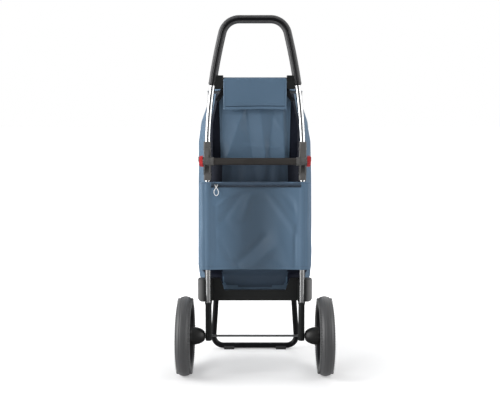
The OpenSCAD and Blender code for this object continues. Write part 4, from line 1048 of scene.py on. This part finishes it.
# ---- Top bar's flap ----
# A doubled flap of the blue cloth, folded over the top bar and sewn through near both
# its edges. It hides the bar and hangs behind the back panel's upper edge.
flap_low, flap_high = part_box("hanging_flap")
bar_low, bar_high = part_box("top_bar")
bar_z, bar_y = (bar_low.z + bar_high.z) / 2, (bar_low.y + bar_high.y) / 2
wrap = (flap_high.y - flap_low.y) / 2 - 0.0008
rear_drop, front_drop = bar_z - flap_low.z, 0.045
arc = np.linspace(math.pi, 0, 26)
profile = [(-wrap, -d) for d in np.linspace(rear_drop, 0, 46)[:-1]]
profile += [(wrap * math.cos(a), wrap * math.sin(a)) for a in arc]
profile += [(wrap, -d) for d in np.linspace(0, front_drop, 24)[1:]]
profile = np.array(profile)
across_flap = np.linspace(-1, 1, 90)
flap_half = (flap_high.x - flap_low.x) / 2
behind_bar = profile[:, :1] < 0
hang = np.clip(-profile[:, 1] / rear_drop, 0, 1)[:, None] * behind_bar
flap_x = np.broadcast_to(across_flap * flap_half, (len(profile), 90))
depth = np.broadcast_to(profile[:, 1:], flap_x.shape)
billow = hang ** 1.5 * (0.0012 * np.sin(flap_x * 42 + 0.6) + 0.0011 * np.cos(flap_x * 27))
seam_depth = rear_drop - 0.0085
billow += (0.0016 * np.exp(-((depth + seam_depth) / 0.0016) ** 2)
           + 0.0010 * np.exp(-((depth + seam_depth - 0.0042) / 0.003) ** 2)) * hang
flap_y = bar_y + profile[:, :1] + billow * behind_bar - 0.0002 * hang
lift = 0.0010 * np.sin(flap_x * 24 + 1.0) * hang
flap_grid = np.stack([flap_x, flap_y, bar_z + depth + lift], -1)
flap = skin("flap_cloth", flap_grid, blue_cloth, around=False)
thickened(flap, thick=0.0018)
settle(flap, "upper_frame", "blue_fabric", "hanging_flap")
k = int(np.argmin(np.abs(profile[:46, 1] + seam_depth)))
seam = flap_grid[k] - (0, 0.0012, 0)
seam_cord = skin("flap_seam", tube_rings(seam[3:-3], stadium(0.0012, 0.0022, 10), (0, 0, 1)),
                 navy_and_shade_cloth)
settle(seam_cord, "upper_frame", "navy_webbing")
flap_rows = []
for inset in (3, -4):
    flap_rows.append((flap_grid[2:44, inset] - (0, 0.0010, 0), (0, -1.0, 0)))
flap_rows.append((seam[4:-4] + (0, 0, 0.0026), (0, -1.0, 0)))
sewn("flap_stitches", flap_rows, "upper_frame")


# ---- Corner straps ----
# Short doubled webbing straps from the top brackets to the back panel's corners. Each
# is sewn down with a small box of stitches.
strap_low, strap_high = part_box("corner_straps")
stitch_rows = []
for side, name, stands_for in ((-1, "corner_straps_webbing", ["corner_straps"]),
                               (1, "strap_right", [])):
    x, y = side * (strap_high.x - 0.006), panel_high.y - 0.0040
    line = smooth_line([(x - side * 0.006, strap_low.y + 0.0016, strap_high.z + 0.004),
        (x - side * 0.001, y, strap_low.z + 0.010), (x + side * 0.005, y, strap_low.z),
        (x + side * 0.012, y, strap_low.z - 0.010)], 36)
    ahead = np.gradient(line, axis=0)
    ahead /= np.linalg.norm(ahead, axis=1)[:, None]
    outs = np.cross(ahead, (1.0, 0, 0))
    outs *= np.where(outs[:, 1:2] > 0, -1, 1)
    strap = ribbon(name, line, outs, 0.012, 0.0016, False, navy_webbing)
    settle(strap, "upper_frame", "navy_webbing", *stands_for)
    sewn_at = line[-9]
    for dz in (-0.003, 0.004):
        row = np.linspace(sewn_at[0] - 0.0045, sewn_at[0] + 0.0045, 6)
        stitch_rows.append((np.stack([row, np.full(6, line[-1, 1] - 0.0009),
                                      np.full(6, sewn_at[2] + dz)], 1), (0, -1.0, 0)))
sewn("corner_stitches", stitch_rows, "upper_frame", pitch=0.0018, long=0.0014)


# ---- Rear pocket ----
# A flat pocket stretched over both lower uprights, which press through its cloth as two
# ridges. It sags between them and is sewn to the bag at its sides. The cloth is painted
# paler over the uprights and darker in its middle: painted highlight and painted shade.
pocket_half, pocket_back = pocket_high.x, pocket_low.y
tube_back = tube_low.y
corner_turn = 0.013
side_y = np.linspace(pocket_high.y, pocket_back + corner_turn, 16)
turn = np.linspace(0, math.pi / 2, 14)[1:]
left_x = np.concatenate([0 * side_y - pocket_half,
                         -pocket_half + corner_turn * (1 - np.cos(turn))])
left_y = np.concatenate([side_y, pocket_back + corner_turn * (1 - np.sin(turn))])
flat_part = np.linspace(left_x[-1], -left_x[-1], 170)[1:-1]
px = np.concatenate([left_x, flat_part, -left_x[::-1]])
py = np.concatenate([left_y, 0 * flat_part + pocket_back, left_y[::-1]])
z, x = np.meshgrid(np.linspace(pocket_low.z + 0.007, pocket_high.z, 130), px, indexing="ij")
up = (z - pocket_low.z) / (pocket_high.z - pocket_low.z)
between = np.clip(1 - (x / 0.1235) ** 2, 0, 1)
sag = 0.0085 * between ** 0.8 * (0.55 + 0.45 * np.sin(math.pi * np.clip(up, 0, 0.93) / 0.93))
ridge = 0.0016 * np.exp(-((np.abs(x) - upright_x) / 0.0062) ** 2)
beyond = 0.0032 * np.clip((np.abs(x) - upright_x - 0.006) / 0.010, 0, 1) ** 1.2
pocket_creases = [(0.032, 0.517, 0.112, 0.405, -0.0036, 0.0095),
    (0.078, 0.516, 0.118, 0.455, 0.0030, 0.0115), (-0.034, 0.518, -0.094, 0.430, 0.0026, 0.0110),
    (-0.010, 0.508, -0.034, 0.445, -0.0022, 0.0100), (0.016, 0.470, 0.014, 0.350, 0.0042, 0.0340),
    (-0.052, 0.316, 0.030, 0.392, 0.0030, 0.0120), (-0.014, 0.306, 0.056, 0.366, -0.0022, 0.0130),
    (0.112, 0.415, 0.113, 0.312, 0.0030, 0.0070), (-0.112, 0.470, -0.110, 0.330, 0.0018, 0.0075),
    (-0.092, 0.446, -0.056, 0.400, 0.0014, 0.0110), (-0.096, 0.380, -0.070, 0.330, 0.0018, 0.0090),
    (0.060, 0.400, 0.092, 0.318, -0.0014, 0.0140), (-0.075, 0.500, -0.100, 0.480, -0.0016, 0.0060),
    (0.050, 0.330, 0.090, 0.300, 0.0020, 0.0090), (-0.070, 0.330, -0.030, 0.298, 0.0018, 0.0080)]
fold_depth = 1.4 * creased(x, z, pocket_creases)
near_zip = np.clip((0.520 - z) / 0.018, 0.06, 1)
in_flat = np.clip((pocket_half - corner_turn - np.abs(x)) / 0.004, 0, 1)
keep_clear = np.clip((0.1190 - np.abs(x)) / 0.012, 0.25, 1)
y = py + in_flat * (sag * np.clip((0.560 - z) / 0.03, 0.3, 1) - ridge
                    + fold_depth * near_zip * keep_clear + beyond)
y = np.where(np.abs(np.abs(x) - upright_x) < 0.0125, np.minimum(y, tube_back - 0.0012), y)
side_push = creased(z, y, [(0.33, -0.07, 0.40, -0.09, 0.002, 0.02),
                           (0.47, -0.06, 0.52, -0.09, -0.002, 0.02)])
low_flare = 0.0016 * np.sin(up * 9.0) + side_push
x = x + np.sign(x) * np.clip((np.abs(x) - 0.138) / 0.012, 0, 1) * low_flare
pocket_grid = np.stack([x, y, z], -1)
# The pocket's cloth is painted darker in its middle and paler over the uprights: painted shade and
# painted highlight.
pocket_shade_and_highlight_cloth = blue_cloth.copy()
tree = pocket_shade_and_highlight_cloth.node_tree
shader = tree.nodes["Principled BSDF"]
place = add(tree, "ShaderNodeTexCoord", {}).outputs["Object"]
multiplied(tree, shader, shader.inputs["Base Color"].links[0].from_socket,
           by_side(tree, place, 0.015, 0.118, 0.60, 1.12))
pocket = skin("pocket_cloth", pocket_grid, pocket_shade_and_highlight_cloth, around=False)
thickened(pocket, thick=0.0016)
settle(pocket, "root", "blue_fabric", "rear_pocket")
# The pocket's base is in the navy cloth, dark as painted shade.
base_line = pocket_grid[1, 31:-31]
base_rings = np.stack([base_line + (0, 1, 0) * (back_y - base_line[:, 1:2]) * t
                       + (0, 0, 0.002) for t in np.linspace(0, 1, 5)])
pocket_base = skin("pocket_base", base_rings, navy_and_shade_cloth, around=False)
thickened(pocket_base, thick=0.0012)
settle(pocket_base, "root", "blue_fabric")


def pocket_row(i, first, last):
    """Points just proud of the pocket's cloth along one of its rows, and their outs."""
    along = pocket_grid[i]
    out = outward_of(along, closed=False)
    return (along + 0.0010 * out)[first:last], out[first:last]


sewn("pocket_stitches", [pocket_row(5, 2, -2), pocket_row(-3, 2, -2)], "root")


# ---- Zip ----
# A coil zip on dark blue tape across the pocket's top, sewn along both edges, with a dark
# band of the same cloth just above it. Its teeth are moulded nylon and the slider is a
# black casting with an eye for the cord.
zip_low, zip_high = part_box("zip_tape")
zip_z = (zip_low.z + zip_high.z) / 2
at_zip = int(np.argmin(np.abs(pocket_grid[:, 0, 2] - zip_z)))
first = int(np.searchsorted(px, zip_low.x + 0.002))
last = int(np.searchsorted(px, zip_high.x))
tape_line, tape_out = pocket_row(at_zip, first, last)
tape_line[:, 1] = np.minimum(tape_line[:, 1], zip_low.y + 0.0018)
tape_line = smooth_line(tape_line[::4], 120)
tape_out = np.tile((0, -1.0, 0), (120, 1))
tape = ribbon("zip_webbing", tape_line, tape_out, zip_high.z - zip_low.z, 0.0010, False,
              shaded_cloth)
band = ribbon("zip_band", tape_line + (0, 0.0002, zip_high.z - zip_z + 0.0030), tape_out, 0.0066,
              0.0010, False, shaded_cloth)
settle(band, "root", "navy_webbing")
settle(tape, "root", "navy_webbing", "zip_tape")
sewn("zip_stitches", [(tape_line + (0, -0.0006, dz), tape_out) for dz in (-0.0031, 0.0031)],
     "root", pitch=0.0036)
nylon_teeth = moulded("nylon_teeth", (0.018, 0.024, 0.036), (0.30, 0.40), 900.0, 0.00003)
teeth = grown("zip_teeth", [(tape_line + (0, -0.0008, dz), tape_out) for dz in (-0.0008, 0.0008)],
              row_along, {"Pitch": 0.0016, "Length": 0.0009, "Width": 0.0024,
                          "Height": 0.0015}, nylon_teeth)
settle(teeth, "root", "black_plastic")
slider_black = moulded("slider_black", (0.030, 0.031, 0.032), (0.26, 0.36), 900.0, 0.00003)
slider = from_cad("zip_slider_casting", "zip_slider", 0.0007, slider_black)
settle(slider, "zip_slider", "black_plastic", "zip_slider")
